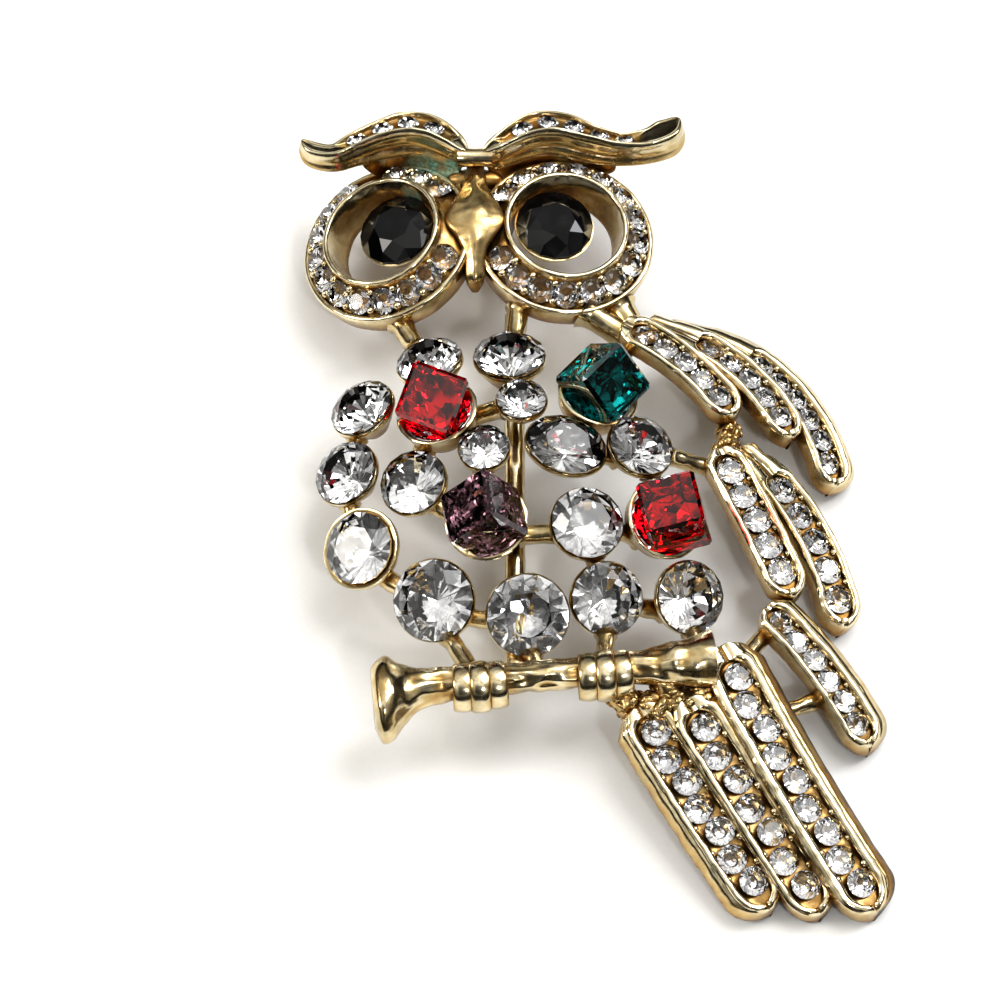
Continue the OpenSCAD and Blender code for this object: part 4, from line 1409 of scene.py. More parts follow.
@dataclass
class Head:
    """The eye rings with their cups and stones, the brows and the beak."""

    eye_y: float = 24.6
    beak_x: float = -9.3
    ring_gap: float = 0.6
    ring_d: float = 15.4
    hole_d: float = 9.8
    depth: float = 3.0
    heights: tuple[float, float] = (7.6, 8.6)
    leans: tuple[float, float] = (20.0, 6.0)
    slope: float = 30.0
    inner_h: float = 1.1
    hole_off: float = 0.25
    stone_d: float = 2.1
    eye_d: float = 6.7
    eye_off: tuple[float, float] = (0.85, 1.15)
    eye_sink: float = 0.55
    brow_lengths: tuple[float, float] = (14.4, 17.0)
    brow_w: float = 3.1
    brow_t: float = 2.7
    brow_h: float = 11.0
    brow_back: float = 24.0
    brow_stone_d: float = 1.7
    beak_w: float = 4.4
    beak_l: float = 12.4

    BROWS = (
        (
            (0.00, -0.01, 0.35, -0.10, 0.70), (0.10, 0.09, 0.70, 0.04, 0.90),
            (0.24, 0.17, 0.96, 0.13, 1.00), (0.38, 0.18, 0.96, 0.16, 1.00),
            (0.54, 0.14, 0.76, 0.06, 0.95), (0.68, 0.08, 0.66, -0.07, 0.80),
            (0.80, 0.02, 0.56, -0.18, 0.62), (0.92, 0.04, 0.56, -0.22, 0.55),
            (1.00, 0.09, 0.52, -0.22, 0.45),
        ),
        (
            (0.00, -0.01, 0.35, -0.10, 0.70), (0.11, 0.07, 0.64, 0.04, 0.90),
            (0.26, 0.15, 0.98, 0.13, 1.00), (0.41, 0.15, 0.94, 0.15, 1.00),
            (0.56, 0.10, 0.68, 0.04, 0.95), (0.71, 0.07, 0.64, -0.05, 0.80),
            (0.85, 0.09, 0.86, -0.08, 0.75), (0.95, 0.15, 1.02, -0.10, 0.75),
            (1.00, 0.20, 0.94, -0.11, 0.65),
        ),
    )

    @property
    def outer_h(self) -> float:
        """Height of a ring's outer edge over its middle."""
        return self.inner_h - (self.ring_d - self.hole_d) / 2 * math.tan(radians(self.slope))

    def ring_place(self, side: int) -> Matrix:
        """The matrix of an eye ring's own axes.

        Args:
            side: 0 for left, 1 for right.

        Returns:
            The matrix.
        """
        leans = [cos(radians(a)) for a in self.leans]
        spacing = (self.ring_d * sum(leans) / 2 + self.ring_gap) / 2
        sign = 1 if side else -1
        return shift(self.beak_x + sign * spacing, self.eye_y, self.heights[side]) @ turn(
            0, sign * self.leans[side], 0
        )

    def hole_r(self, a: float) -> float:
        """Radius of the opening, which lies off the ring's middle.

        Args:
            a: The angle in degrees.

        Returns:
            The radius.
        """
        r = radians(a)
        return self.hole_off * sin(r) + sqrt((self.hole_d / 2) ** 2 - (self.hole_off * cos(r)) ** 2)

    def green(self, points: np.ndarray) -> np.ndarray:
        """How green each place is: the bloom sits under the left brow.

        Args:
            points: Rows that start with x, y and z.

        Returns:
            A share for each row, 0 to 1.
        """
        out = np.zeros(len(points))
        for x, y, z, r in ((-13.6, 30.9, 8.0, 3.0), (-11.2, 31.2, 8.4, 2.4), (-14.2, 29.6, 8.0, 2.0)):
            gap = np.linalg.norm(points[:, :3] - np.array([x, y, z]), axis=1)
            out = np.maximum(out, np.clip(1 - gap / r, 0, 1))
        return out

    def ring(self, side: int) -> Solid:
        """The eye ring with its cup.

        Args:
            side: 0 for left, 1 for right.

        Returns:
            The solid.
        """
        lay, n = LAYOUT, 240
        place = self.ring_place(side)
        inverse = place.inverted()
        seats = [inverse @ m.translation for m in self.ring_stones(side)]
        ro = self.ring_d / 2
        rings = []
        for i in range(n):
            a = 360 * i / n
            ri = self.hole_r(a)
            mid = (ri + ro) / 2
            at = Vector((mid * cos(radians(a)), mid * sin(radians(a)), 0))
            gap = min((at - Vector((p.x, p.y, 0))).length for p in seats)
            level = (self.inner_h + self.outer_h) / 2 - 0.12
            deepest = level - pit(self.stone_d, gap) * 1.12
            edge = pit(self.stone_d, hypot(gap, (ro - ri) / 2 - 0.6)) - SEAT_DEPTH
            swell = 0.06 * uneven((cos(radians(a)) * 3, sin(radians(a)) * 3, side), 1.0, 3)
            # The third column darkens the metal: grime and painted shade in the seats and down the inner and
            # outer walls.
            raw = np.array(
                [
                    [ri - 0.7, -self.depth, 0.6], [ri - 0.3, -self.depth * 0.4, 0.35],
                    [ri - 0.04, self.inner_h - 0.3, 0.08], [ri + 0.02, self.inner_h + 0.2 + swell, 0.0],
                    [ri + 0.4, self.inner_h + 0.17 + swell, 0.0], [ri + 0.52, self.inner_h - 0.2, 0.25],
                    [ri + 0.6, self.inner_h - 0.5 - edge, 0.4], [mid - 0.15, deepest + 0.08, 0.4],
                    [mid + 0.15, deepest - 0.08, 0.4], [ro - 0.62, self.outer_h - 0.4 - edge, 0.4],
                    [ro - 0.52, self.outer_h - 0.1, 0.25], [ro - 0.4, self.outer_h + 0.2 - swell, 0.0],
                    [ro + 0.04, self.outer_h + 0.14 - swell, 0.0], [ro + 0.08, self.outer_h - 0.6, 0.2],
                    [ro - 0.1, -self.depth * 0.7, 0.5], [ro - 0.35, -self.depth, 0.8],
                ]
            )
            raw = corner_cut(raw, 2)
            c, s = cos(radians(a)), sin(radians(a))
            local = np.stack([raw[:, 0] * c, raw[:, 0] * s, raw[:, 1]], axis=1)
            world = moved(local, place)
            rings.append(np.column_stack([world, raw[:, 2], self.green(world)]))
        solid = Solid()
        solid.loft(rings, closed=True)
        r = self.eye_d / 2 + 0.1
        deep = self.eye_d * lay.pavilion + 0.5
        # The eye cup is painted darker towards its bottom: grime and painted shade.
        solid.lathe(
            [
                [0, -deep * 0.9, 0.8], [r * 0.42, -deep * 0.9, 0.8], [r * 0.75, -deep * 0.6, 0.5],
                [r * 0.95, -0.75, 0.25], [r, -0.4, 0.05], [r - 0.02, -0.22, 0.0], [r - 0.14, -0.2, 0.0],
                [r - 0.3, -0.36, 0.3], [r * 0.4, -deep * 0.75, 0.9], [0, -deep * 0.82, 0.9],
            ],
            self.eye_place(side),
            64,
        )
        return solid

    def eye_place(self, side: int) -> Matrix:
        """The matrix of an eye stone's own axes.

        Args:
            side: 0 for left, 1 for right.

        Returns:
            The matrix.
        """
        sign = 1 if side else -1
        return self.ring_place(side) @ shift(-sign * self.eye_off[0], self.eye_off[1], -self.eye_sink)

    def ring_stones(self, side: int) -> list[Matrix]:
        """The small stones round an eye, with one lost from the left ring.

        Args:
            side: 0 for left, 1 for right.

        Returns:
            Their matrices.
        """
        start, bend = ((-28, -292), (-153, 297))[side]
        pitch = degrees((self.stone_d + LAYOUT.row_gap) / ((self.ring_d + self.hole_d) / 4))
        n = math.floor(abs(bend) / pitch)
        out = []
        for k in range(n + 1):
            if side == 0 and k == round(n * 0.76):
                continue
            a = start + bend * k / n
            r = (self.hole_r(a) + self.ring_d / 2) / 2 + 0.05
            c, s = cos(radians(a)), sin(radians(a))
            out.append(
                self.ring_place(side)
                @ shift(r * c, r * s, (self.inner_h + self.outer_h) / 2 - 0.12)
                @ turn(0, 0, a)
                @ turn(0, self.slope, 0)
            )
        return out

    def ring_beads(self, side: int) -> list[tuple[float, float, float]]:
        """The drops of metal between the stones of a ring.

        Args:
            side: 0 for left, 1 for right.

        Returns:
            Their places.
        """
        places = self.ring_stones(side)
        half = self.stone_d / 2 + 0.02
        out = []
        for a, b in zip(places, places[1:]):
            mid = (a.translation + b.translation) / 2
            if (a.translation - b.translation).length > self.stone_d * 1.6:
                continue
            radial = (a.to_3x3() @ Vector((1, 0, 0)) + b.to_3x3() @ Vector((1, 0, 0))).normalized()
            up = (a.to_3x3() @ Vector((0, 0, 1)) + b.to_3x3() @ Vector((0, 0, 1))).normalized()
            for sign in (-1, 1):
                out.append(tuple(mid + radial * (sign * (half - 0.3)) + up * 0.05))
        return out

    def brow_frame(self, side: int, s: float) -> tuple[np.ndarray, float]:
        """Place and heading of a brow at a share of its length, before it is mirrored.

        Args:
            side: 0 for left, 1 for right.
            s: The share of the length.

        Returns:
            The place and the heading in radians.
        """
        rows, l = self.BROWS[side], self.brow_lengths[side]
        x = 0.7 + s * l
        y = self.eye_y + 6.87 + table_value(rows, s, 1) * l
        z = self.brow_h + table_value(rows, s, 3) * self.brow_t
        ahead, behind = min(1, s + 0.02), max(0, s - 0.02)
        slope = (table_value(rows, ahead, 1) - table_value(rows, behind, 1)) / (ahead - behind)
        return np.array([x, y, z]), math.atan(slope)

    def to_side(self, side: int, points: np.ndarray) -> np.ndarray:
        """Puts points from a brow's own axes on its side of the beak.

        Args:
            side: 0 for left, 1 for right.
            points: Rows of x, y and z.

        Returns:
            The rows in the frame of the brooch.
        """
        out = np.array(points, float)
        if side == 0:
            out[:, 0] = -out[:, 0]
        out[:, 0] += self.beak_x
        return out

    def brow(self, side: int) -> Solid:
        """A brow with the curved wall that joins it to its eye ring.

        Args:
            side: 0 for left, 1 for right.

        Returns:
            The solid.
        """
        lay, rows = LAYOUT, self.BROWS[side]
        seats = self.brow_shares(side)
        places = [*np.linspace(0.0, 0.06, 7), *np.linspace(0.06, 0.93, 88)[1:]]
        places += [*np.linspace(0.93, 1.0, 15)[1:]]
        rings, feet = [], []
        last_open = 0.78 if side == 0 else 0.84
        for s in places:
            p, heading = self.brow_frame(side, s)
            w = table_value(rows, s, 2) * self.brow_w / 2
            if s < 0.06:
                w *= sqrt(max(0.05, 1 - (1 - s / 0.06) ** 2))
            t = table_value(rows, s, 4) * self.brow_t
            if s > 0.9:
                close = sqrt(max(0.02, 1 - ((s - 0.9) / 0.1) ** 2))
                w, t = w * close, t * (0.15 + 0.85 * close)
            fill = 1 - min(1, max(0, (s - 0.07) / 0.05)) * min(1, max(0, (last_open - s) / 0.1))
            rim = min(lay.rim_w * 0.95, w * 0.42)
            top = lay.rim_h + 0.12
            gap = min(abs(s - share) for share in seats) * self.brow_lengths[side]
            low = -pit(self.brow_stone_d, hypot(gap, w - rim * 1.15))
            low = low * (1 - fill) + (top - 0.1) * fill
            deepest = -pit(self.brow_stone_d, gap) * (1 - fill) + (top - 0.06) * fill
            # The third column darkens the metal: grime and painted shade in the open channel and under the
            # brow.
            dark = 0.42 * (1 - fill)
            ripple = 0.05 * uneven((p[0], p[1], p[2] + side * 9), 1.6, 2)
            raw = np.array(
                [
                    [w * 0.55, -t * 0.95, 0.3], [w * 0.98, -t * 0.45, 0.05], [w, top * 0.4, 0.0],
                    [w - rim * 0.2, top + ripple, 0.0], [w - rim * 0.9, top + ripple, 0.0],
                    [w - rim * 1.15, low, dark], [0.2 * w, deepest, dark], [-0.2 * w, deepest, dark],
                    [-(w - rim * 1.15), low, dark], [-(w - rim * 0.9), top - ripple, 0.0],
                    [-(w - rim * 0.1), top - ripple, 0.0], [-(w + 0.02), -t * 0.12, 0.0],
                    [-(w - t * 0.12), -t * 0.45, 0.18], [-(w * 0.96), -t * 0.95, 0.35],
                    [-w * 0.4, -t * 1.02, 0.4],
                ]
            )
            raw = corner_cut(raw, 2)
            back = radians(self.brow_back)
            world = self.to_side(side, on_line(raw, p, back, heading))
            rings.append(np.column_stack([world, raw[:, 2], self.green(world)]))
            foot = on_line(np.array([[-w * 0.9, -t * 0.55]]), p, back, heading)
            feet.append((s, self.to_side(side, foot)[0]))
        solid = Solid()
        solid.loft(rings)
        self.cove(solid, side, feet)
        if side == 0:
            bridge = [[0, -1.6, 0.2]]
            bridge += [[1.0 - 0.2 * cos(h), 1.5 * h, 0.1] for h in np.linspace(-1, 1, 9)]
            place = shift(self.beak_x, self.eye_y + 6.7, self.brow_h - 0.7) @ turn(0, 90, 0)
            solid.lathe([*bridge, [0, 1.6, 0.2]], place, 24)
            web = [[1.05 * cos(h), 2.5 * sin(h), 0.5] for h in np.linspace(-1.55, 1.55, 17)]
            low = shift(self.beak_x, self.eye_y + 5.6, self.brow_h - 2.6) @ turn(0, 90, 0)
            solid.lathe([[0, -2.5, 0.35], *web[1:-1], [0, 2.5, 0.35]], low, 32)
        return solid

    def cove(self, solid: Solid, side: int, feet: Sequence[tuple[float, np.ndarray]]) -> None:
        """Adds the hollow wall from a brow's lower edge down to its ring.

        Args:
            solid: Where it is added.
            side: 0 for left, 1 for right.
            feet: Shares of the brow's length and places of its lower edge.
        """
        place = self.ring_place(side)
        inverse = place.inverted()
        ro = self.ring_d / 2
        rings = []
        for s, top in feet:
            if not 0.02 <= s <= 0.7:
                continue
            local = inverse @ Vector(top)
            if abs(local.x) > ro * 0.93:
                continue
            a = math.acos(local.x / (ro - 0.2))
            low = place @ Vector(((ro - 0.2) * cos(a), (ro - 0.2) * sin(a), self.outer_h - 0.55))
            low = np.array(low)
            if low[1] > top[1] - 0.1:
                low[1] = top[1] - 0.1
            bend = np.array([(top[0] + low[0]) / 2, top[1] + 0.15, low[2] + 0.1])
            front = [
                (1 - t) ** 2 * low + 2 * t * (1 - t) * bend + t**2 * top for t in np.linspace(0, 1, 10)
            ]
            back = [p + np.array([0, 0.9 + 0.5 * (1 - k / 9), -0.7]) for k, p in enumerate(front)]
            ring = np.array(front + back[::-1])
            ring[:, 2] += 0.02 * np.array([uneven(q, 1.3, 4) for q in ring])
            # Painted shade under the brow: the cove's wall is darkest at its middle and all down its back.
            recess = [0.42 - 0.3 * abs(2 * k / 9 - 0.9) for k in range(10)] + [0.4] * 10
            rings.append(np.column_stack([ring, recess, self.green(ring)]))
        for i, ring in enumerate(rings[-12:]):
            ring[:, :3] = ring[9, :3] + (ring[:, :3] - ring[9, :3]) * sqrt(1 - (i / 12.5) ** 2)
        if len(rings) > 2:
            solid.loft(rings)

    def brow_shares(self, side: int) -> list[float]:
        """Where the stones of a brow sit.

        Args:
            side: 0 for left, 1 for right.

        Returns:
            Their shares of its length.
        """
        first, last = 0.2, (0.66, 0.72)[side]
        l = self.brow_lengths[side]
        n = math.floor((last - first) * l / (self.brow_stone_d + LAYOUT.row_gap))
        return [first + (last - first) * k / n for k in range(n + 1)]

    def brow_stones(self, side: int) -> list[Matrix]:
        """The small stones on a brow.

        Args:
            side: 0 for left, 1 for right.

        Returns:
            Their matrices.
        """
        out = []
        for s in self.brow_shares(side):
            p, heading = self.brow_frame(side, s)
            sign = 1 if side else -1
            out.append(
                shift(self.beak_x + sign * p[0], p[1], p[2])
                @ turn(0, 0, sign * degrees(heading))
                @ turn(-self.brow_back, 0, 0)
            )
        return out

    def beak(self) -> Solid:
        """The beak: a long lozenge with a soft ridge and a drop at its tip.

        Returns:
            The solid.
        """
        top_y = self.eye_y + 7.3
        z = sum(self.heights) / 2 + 2.2
        rows = (
            (0.00, 0.34, -0.6, 0.4), (0.13, 0.38, -0.5, 0.4), (0.235, 0.46, -0.2, 0.45),
            (0.357, 0.72, 0.15, 0.5), (0.461, 0.98, 0.42, 0.55), (0.539, 1.12, 0.5, 0.6),
            (0.617, 1.0, 0.42, 0.55), (0.704, 0.66, 0.15, 0.5), (0.79, 0.44, -0.2, 0.5),
            (0.895, 0.38, -0.75, 0.5), (0.957, 0.37, -1.15, 0.5), (1.00, 0.2, -1.6, 0.4),
        )
        rings = []
        for s in np.linspace(0, 1, 60):
            w = table_value(rows, s, 1) * self.beak_w / 2
            ridge, t = z + table_value(rows, s, 2), table_value(rows, s, 3)
            y = top_y - s * self.beak_l * 0.98
            raw = np.array(
                [
                    [-w * 0.7, ridge - t - 1.4, 0.6], [-w * 1.02, ridge - t - 0.4, 0.5],
                    [-w * 1.04, ridge - t, 0.2], [-w * 0.55, ridge - t * 0.5, 0.0],
                    [0, ridge + 0.06, 0.0], [w * 0.55, ridge - t * 0.5, 0.0],
                    [w * 1.04, ridge - t, 0.2], [w * 1.02, ridge - t - 0.4, 0.5],
                    [w * 0.7, ridge - t - 1.4, 0.6],
                ]
            )
            raw = corner_cut(raw, 2)
            world = np.stack([self.beak_x + raw[:, 0], np.full(len(raw), y), raw[:, 1]], axis=1)
            # The beak is darkened all over, most on its sides and underside: grime and painted shade.
            rings.append(np.column_stack([world, raw[:, 2] + 0.24, self.green(world)]))
        solid = Solid()
        solid.loft(rings)
        return solid


# Chest


@dataclass(frozen=True)
class ChestStone:
    """A clear stone of the chest: across and along in percent, then its size and its turn."""

    across: float
    along: float
    diameter: float
    sink: float = 0.0
    long: float = 1.0
    spin: float = 0.0
    lip: float = 0.08

    def point(self) -> tuple[float, float, float]:
        """The middle of the girdle."""
        x, y = LAYOUT.at_share(self.across, self.along)
        return x, y, LAYOUT.dome_h((x, y)) - self.sink

    def place(self) -> Matrix:
        """The matrix of the stone's own axes."""
        p = self.point()
        return shift(*p) @ LAYOUT.dome_turn(p) @ turn(0, 0, self.spin)

    def foot(self) -> np.ndarray:
        """Where the struts meet under the cup."""
        x, y, z = self.point()
        return np.array([x, y, z - (self.diameter * LAYOUT.pavilion + 0.5) * 0.62])


@dataclass(frozen=True)
class ChestCube:
    """A coloured cube that stands on a corner in a cup."""

    node: str
    slot: str
    across: float
    along: float
    rise: float
    lean_x: float
    lean_y: float
    spin: float
    edge: float = 4.9
    bevel: float = 0.3

    def point(self) -> tuple[float, float, float]:
        """The middle of the cube."""
        x, y = LAYOUT.at_share(self.across, self.along)
        return x, y, LAYOUT.dome_h((x, y)) + self.rise

    def place(self) -> Matrix:
        """The matrix of the cube's own axes, square to its faces.

        Returns:
            The matrix.
        """
        corner = turn(degrees(math.atan(sqrt(2))), 0, 0) @ turn(0, 0, 45)
        return (
            shift(*self.point())
            @ turn(self.lean_x, 0, 0)
            @ turn(0, self.lean_y, 0)
            @ turn(0, 0, self.spin)
            @ corner
        )

    def foot(self) -> np.ndarray:
        """Where the struts meet under the cup."""
        x, y, z = self.point()
        return np.array([x, y, z - self.edge * 0.72])


CLEAR = (
    ChestStone(-27.0, 17.6, 5.6, 0.6), ChestStone(-13.0, 17.6, 6.0, 0.5), ChestStone(-11.0, 10.5, 4.2),
    ChestStone(-38.5, 11.0, 5.6), ChestStone(-41.0, 2.2, 5.6), ChestStone(-29.4, -0.2, 5.6),
    ChestStone(-17.4, 3.8, 4.2), ChestStone(-3.4, 4.2, 6.8 / 1.27, 0, 1.27, -18),
    ChestStone(9.4, 4.9, 5.6), ChestStone(0.0, -5.7, 6.0), ChestStone(-38.4, -7.6, 6.0, lip=0.42),
    ChestStone(-25.8, -14.6, 6.7), ChestStone(-10.0, -16.6, 6.7), ChestStone(3.3, -14.4, 6.0),
    ChestStone(17.4, -13.2, 6.0),
)
CUBES = (
    ChestCube("cube_red_left", "red_glass", -26.2, 9.6, 1.3, -30, -20, 15),
    ChestCube("cube_purple", "purple_glass", -17.3, -5.7, 1.1, 25, 10, 5),
    ChestCube("cube_teal", "teal_glass", 2.9, 12.3, 1.2, 25, -25, 85),
    ChestCube("cube_red_right", "red_glass", 14.6, -4.4, 1.2, -45, 20, 90),
)


@dataclass
class Chest:
    """The cups of the chest and the stones in them."""

    struts: tuple[tuple[int, int, float], ...] = (
        (0, 15, 1), (1, 2, 1), (15, 2, 1.1), (3, 4, 1), (15, 5, 1), (5, 16, 1), (6, 16, 1),
        (17, 7, 1), (7, 8, 1.1), (8, 18, 1), (16, 9, 1.1), (9, 18, 1), (9, 13, 1), (13, 14, 1.1),
        (4, 10, 1), (10, 11, 1.1), (11, 12, 1),
    )

    def foot(self, i: int) -> np.ndarray:
        """The foot of cup i: 0 to 14 are the clear stones and 15 to 18 the cubes."""
        return CLEAR[i].foot() if i < 15 else CUBES[i - 15].foot()

    def wall(self, i: int, towards: np.ndarray) -> np.ndarray:
        """Where a bar meets the wall of cup i.

        Args:
            i: The cup.
            towards: The bar's other end.

        Returns:
            A place in the cup's wall, clear of its stone.
        """
        foot = self.foot(i)
        way = (towards - foot) * [1, 1, 0]
        reach = CLEAR[i].diameter * 0.39 if i < 15 else CUBES[i - 15].edge * 0.6
        return foot + way / np.linalg.norm(way) * reach

    def cups(self) -> Solid:
        """All the cups.

        Returns:
            The solid.
        """
        lay, solid = LAYOUT, Solid()
        for stone in CLEAR:
            d = stone.diameter
            r, deep, rim = d / 2 + stone.lip, d * lay.pavilion + 0.5, -0.02 * d - 0.1
            # The third column darkens each cup towards its bottom: grime and painted shade.
            solid.lathe(
                [
                    [0, -deep, 0.9], [r * 0.42, -deep, 0.9], [r * 0.64, -deep * 0.72, 0.7],
                    [r * 0.9, -deep * 0.36, 0.4], [r, rim - 0.45, 0.15], [r + 0.03, rim - 0.12, 0.0],
                    [r - 0.04, rim, 0.0], [d / 2 - 0.04, rim - 0.04, 0.1], [d / 2 - 0.3, rim - 0.3, 0.5],
                    [d * 0.25, -deep * 0.55, 0.9], [0, -deep * 0.9, 1.0],
                ],
                stone.place(),
                56,
                stone.long,
            )
        for cube in CUBES:
            e = cube.edge
            r = e * 0.68 + 0.1
            p = cube.point()
            # The third column darkens each cube's cup towards its bottom: grime and painted shade.
            solid.lathe(
                [
                    [0, -e * 0.95, 0.9], [r * 0.4, -e * 0.95, 0.9], [r * 0.7, -e * 0.82, 0.7],
                    [r * 0.9, -e * 0.6, 0.35], [r * 0.99, -e * 0.36, 0.1], [r + 0.03, -e * 0.3, 0.0],
                    [r - 0.06, -e * 0.28, 0.0], [r - 0.26, -e * 0.28, 0.0], [r - 0.36, -e * 0.34, 0.3],
                    [e * 0.52, -e * 0.56, 0.6], [e * 0.28, -e * 0.76, 0.8], [0, -e * 0.78, 0.8],
                ],
                shift(*p) @ lay.dome_turn(p),
                64,
            )
        return solid

    def cube(self, cube: ChestCube) -> Solid:
        """A cube with bevelled edges over the foil that lines its cup.

        Args:
            cube: Which one.

        Returns:
            The solid, with its upper faces in slot 0, its lower ones and the foil in slot 1.
        """
        h, b = cube.edge / 2, cube.bevel
        signs = list(itertools.product((-1, 1), repeat=3))
        points = [
            [c * (h if k == axis else h - b) for k, c in enumerate(s)] for s in signs for axis in range(3)
        ]

        def number(s: dict[int, int], axis: int) -> int:
            """The point of a corner, given by its signs, that lies in the face across an axis."""
            return 3 * signs.index((s[0], s[1], s[2])) + axis

        faces = []
        for axis in range(3):
            u, v = [k for k in range(3) if k != axis]
            for sign in (-1, 1):
                around = ((-1, -1), (1, -1), (1, 1), (-1, 1))
                faces.append([number({axis: sign, u: a, v: c}, axis) for a, c in around])
            for a, c in itertools.product((-1, 1), repeat=2):
                lo, hi = {axis: -1, u: a, v: c}, {axis: 1, u: a, v: c}
                faces.append([number(lo, u), number(hi, u), number(hi, v), number(lo, v)])
        faces += [[3 * i, 3 * i + 1, 3 * i + 2] for i in range(len(signs))]
        pts = moved(np.array(points), cube.place())
        middle = np.array(cube.point())
        slots = [int(pts[f].mean(axis=0)[2] - middle[2] < -0.2 * cube.edge) for f in faces]
        solid = Solid()
        solid.add(pts, faces, slots=slots)
        e, before = cube.edge, len(solid.faces)
        solid.lathe(
            [
                [0, -e * 0.75, 0], [e * 0.26, -e * 0.72, 0], [e * 0.5, -e * 0.54, 0],
                [e * 0.6, -e * 0.38, 0], [e * 0.57, -e * 0.37, 0], [e * 0.47, -e * 0.5, 0],
                [e * 0.24, -e * 0.67, 0], [0, -e * 0.7, 0],
            ],
            shift(*middle) @ LAYOUT.dome_turn(middle),
            48,
        )
        solid.slots[before:] = [1] * (len(solid.faces) - before)
        return solid


# Branch, feet and ties


@dataclass
class Branch:
    """The branch with the two feet that grip it."""

    length: float = 27.8
    d: float = 2.5
    height: float = 7.6
    bend: float = 5.5
    claw_d: float = 4.4
    claw_w: float = 4.0
    claws: tuple[float, float] = (0.31, 0.675)

    ROWS = (
        (0.00, 1.05, 0.30), (0.02, 1.40, 0.40), (0.05, 1.40, 0.36), (0.08, 1.10, 0.28),
        (0.12, 0.78, 0.14), (0.17, 0.61, 0.04), (0.23, 0.54, 0.00), (0.40, 0.50, 0.00),
        (0.54, 0.50, 0.00), (0.75, 0.55, 0.00), (0.85, 0.64, 0.00), (0.94, 0.84, -0.04),
        (1.00, 0.96, -0.10),
    )

    def at(self, s: float) -> np.ndarray:
        """A place along the branch's middle.

        Args:
            s: Share of the length.

        Returns:
            Its x, y and z.
        """
        h = radians(self.bend)
        return np.array(
            [
                -0.357 * LAYOUT.owl_w + s * self.length * cos(h),
                -0.256 * LAYOUT.owl_l + s * self.length * sin(h),
                self.height,
            ]
        )

    def ring(self, s: float, share: float, sides: int = 56) -> np.ndarray:
        """A ring round the branch, knobbly as bark.

        Args:
            s: Share of the length.
            share: Share of the full radius.
            sides: Points round it.

        Returns:
            Rows of x, y, z and recess.
        """
        h = radians(self.bend)
        r, droop = table_value(self.ROWS, s, 1) * self.d, table_value(self.ROWS, s, 2) * self.d
        flat = 1.0 - 0.2 * min(1.0, max(0.0, (r / self.d - 0.7) / 0.25))
        p = self.at(s)
        rows = []
        for k in range(sides):
            a = 2 * pi * k / sides
            c, q = cos(a), sin(a)
            knob = (
                0.19 * uneven((s * self.length, c * 1.6, q * 1.6), 1.25, 1)
                + 0.1 * uneven((s * self.length * 0.45, c * 3.2, q * 3.2), 0.9, 5)
            )
            rr = (r + (knob if share > 0.9 else 0.0)) * share
            # The last column darkens the dips between the knobs: grime and painted shade.
            rows.append(
                [
                    p[0] - rr * c * sin(h),
                    p[1] + rr * c * cos(h) - droop,
                    p[2] + rr * q * flat,
                    0.12 + max(0.0, -knob) * 2.5,
                ]
            )
        return np.array(rows)

    def metal(self) -> Solid:
        """The branch and the feet.

        Returns:
            The solid.
        """
        solid = Solid()
        rings = [self.ring(0.012, 0.45), self.ring(0.006, 0.7), self.ring(0.0, 0.93)]
        rings += [self.ring(s, 1.0) for s in np.linspace(0.004, 0.996, 130)]
        rings += [self.ring(1.0, 0.9), self.ring(0.997, 0.6), self.ring(0.992, 0.3)]
        solid.loft(rings)
        for s in self.claws:
            self.foot(solid, s)
        return solid

    def foot(self, solid: Solid, s: float) -> None:
        """Adds a foot: three round toes side by side.

        Args:
            solid: Where it is added.
            s: Its place along the branch.
        """
        toe = self.claw_w / 3
        for k, thick in ((-1, 0.94), (0, 1.0), (1, 0.92)):
            place = (
                shift(*self.at(s))
                @ turn(0, 0, self.bend + 3 * k)
                @ shift(k * toe, -0.12 * self.claw_d, 0.05 * (k == 0))
                @ turn(0, 90, 0)
            )
            # The toes are painted darker towards the sides where they meet: grime and painted shade.
            profile = [[0, -toe * 0.62, 0.5]]
            for q in range(-80, 81, 16):
                a = radians(q)
                profile.append(
                    [
                        self.claw_d * 0.5 * thick * (0.86 + 0.11 * cos(a)),
                        toe * 0.6 * sin(a),
                        0.4 * (1 - cos(a)) + 0.05,
                    ]
                )
            profile.append([0, toe * 0.62, 0.5])
            solid.lathe(profile, place, 48)


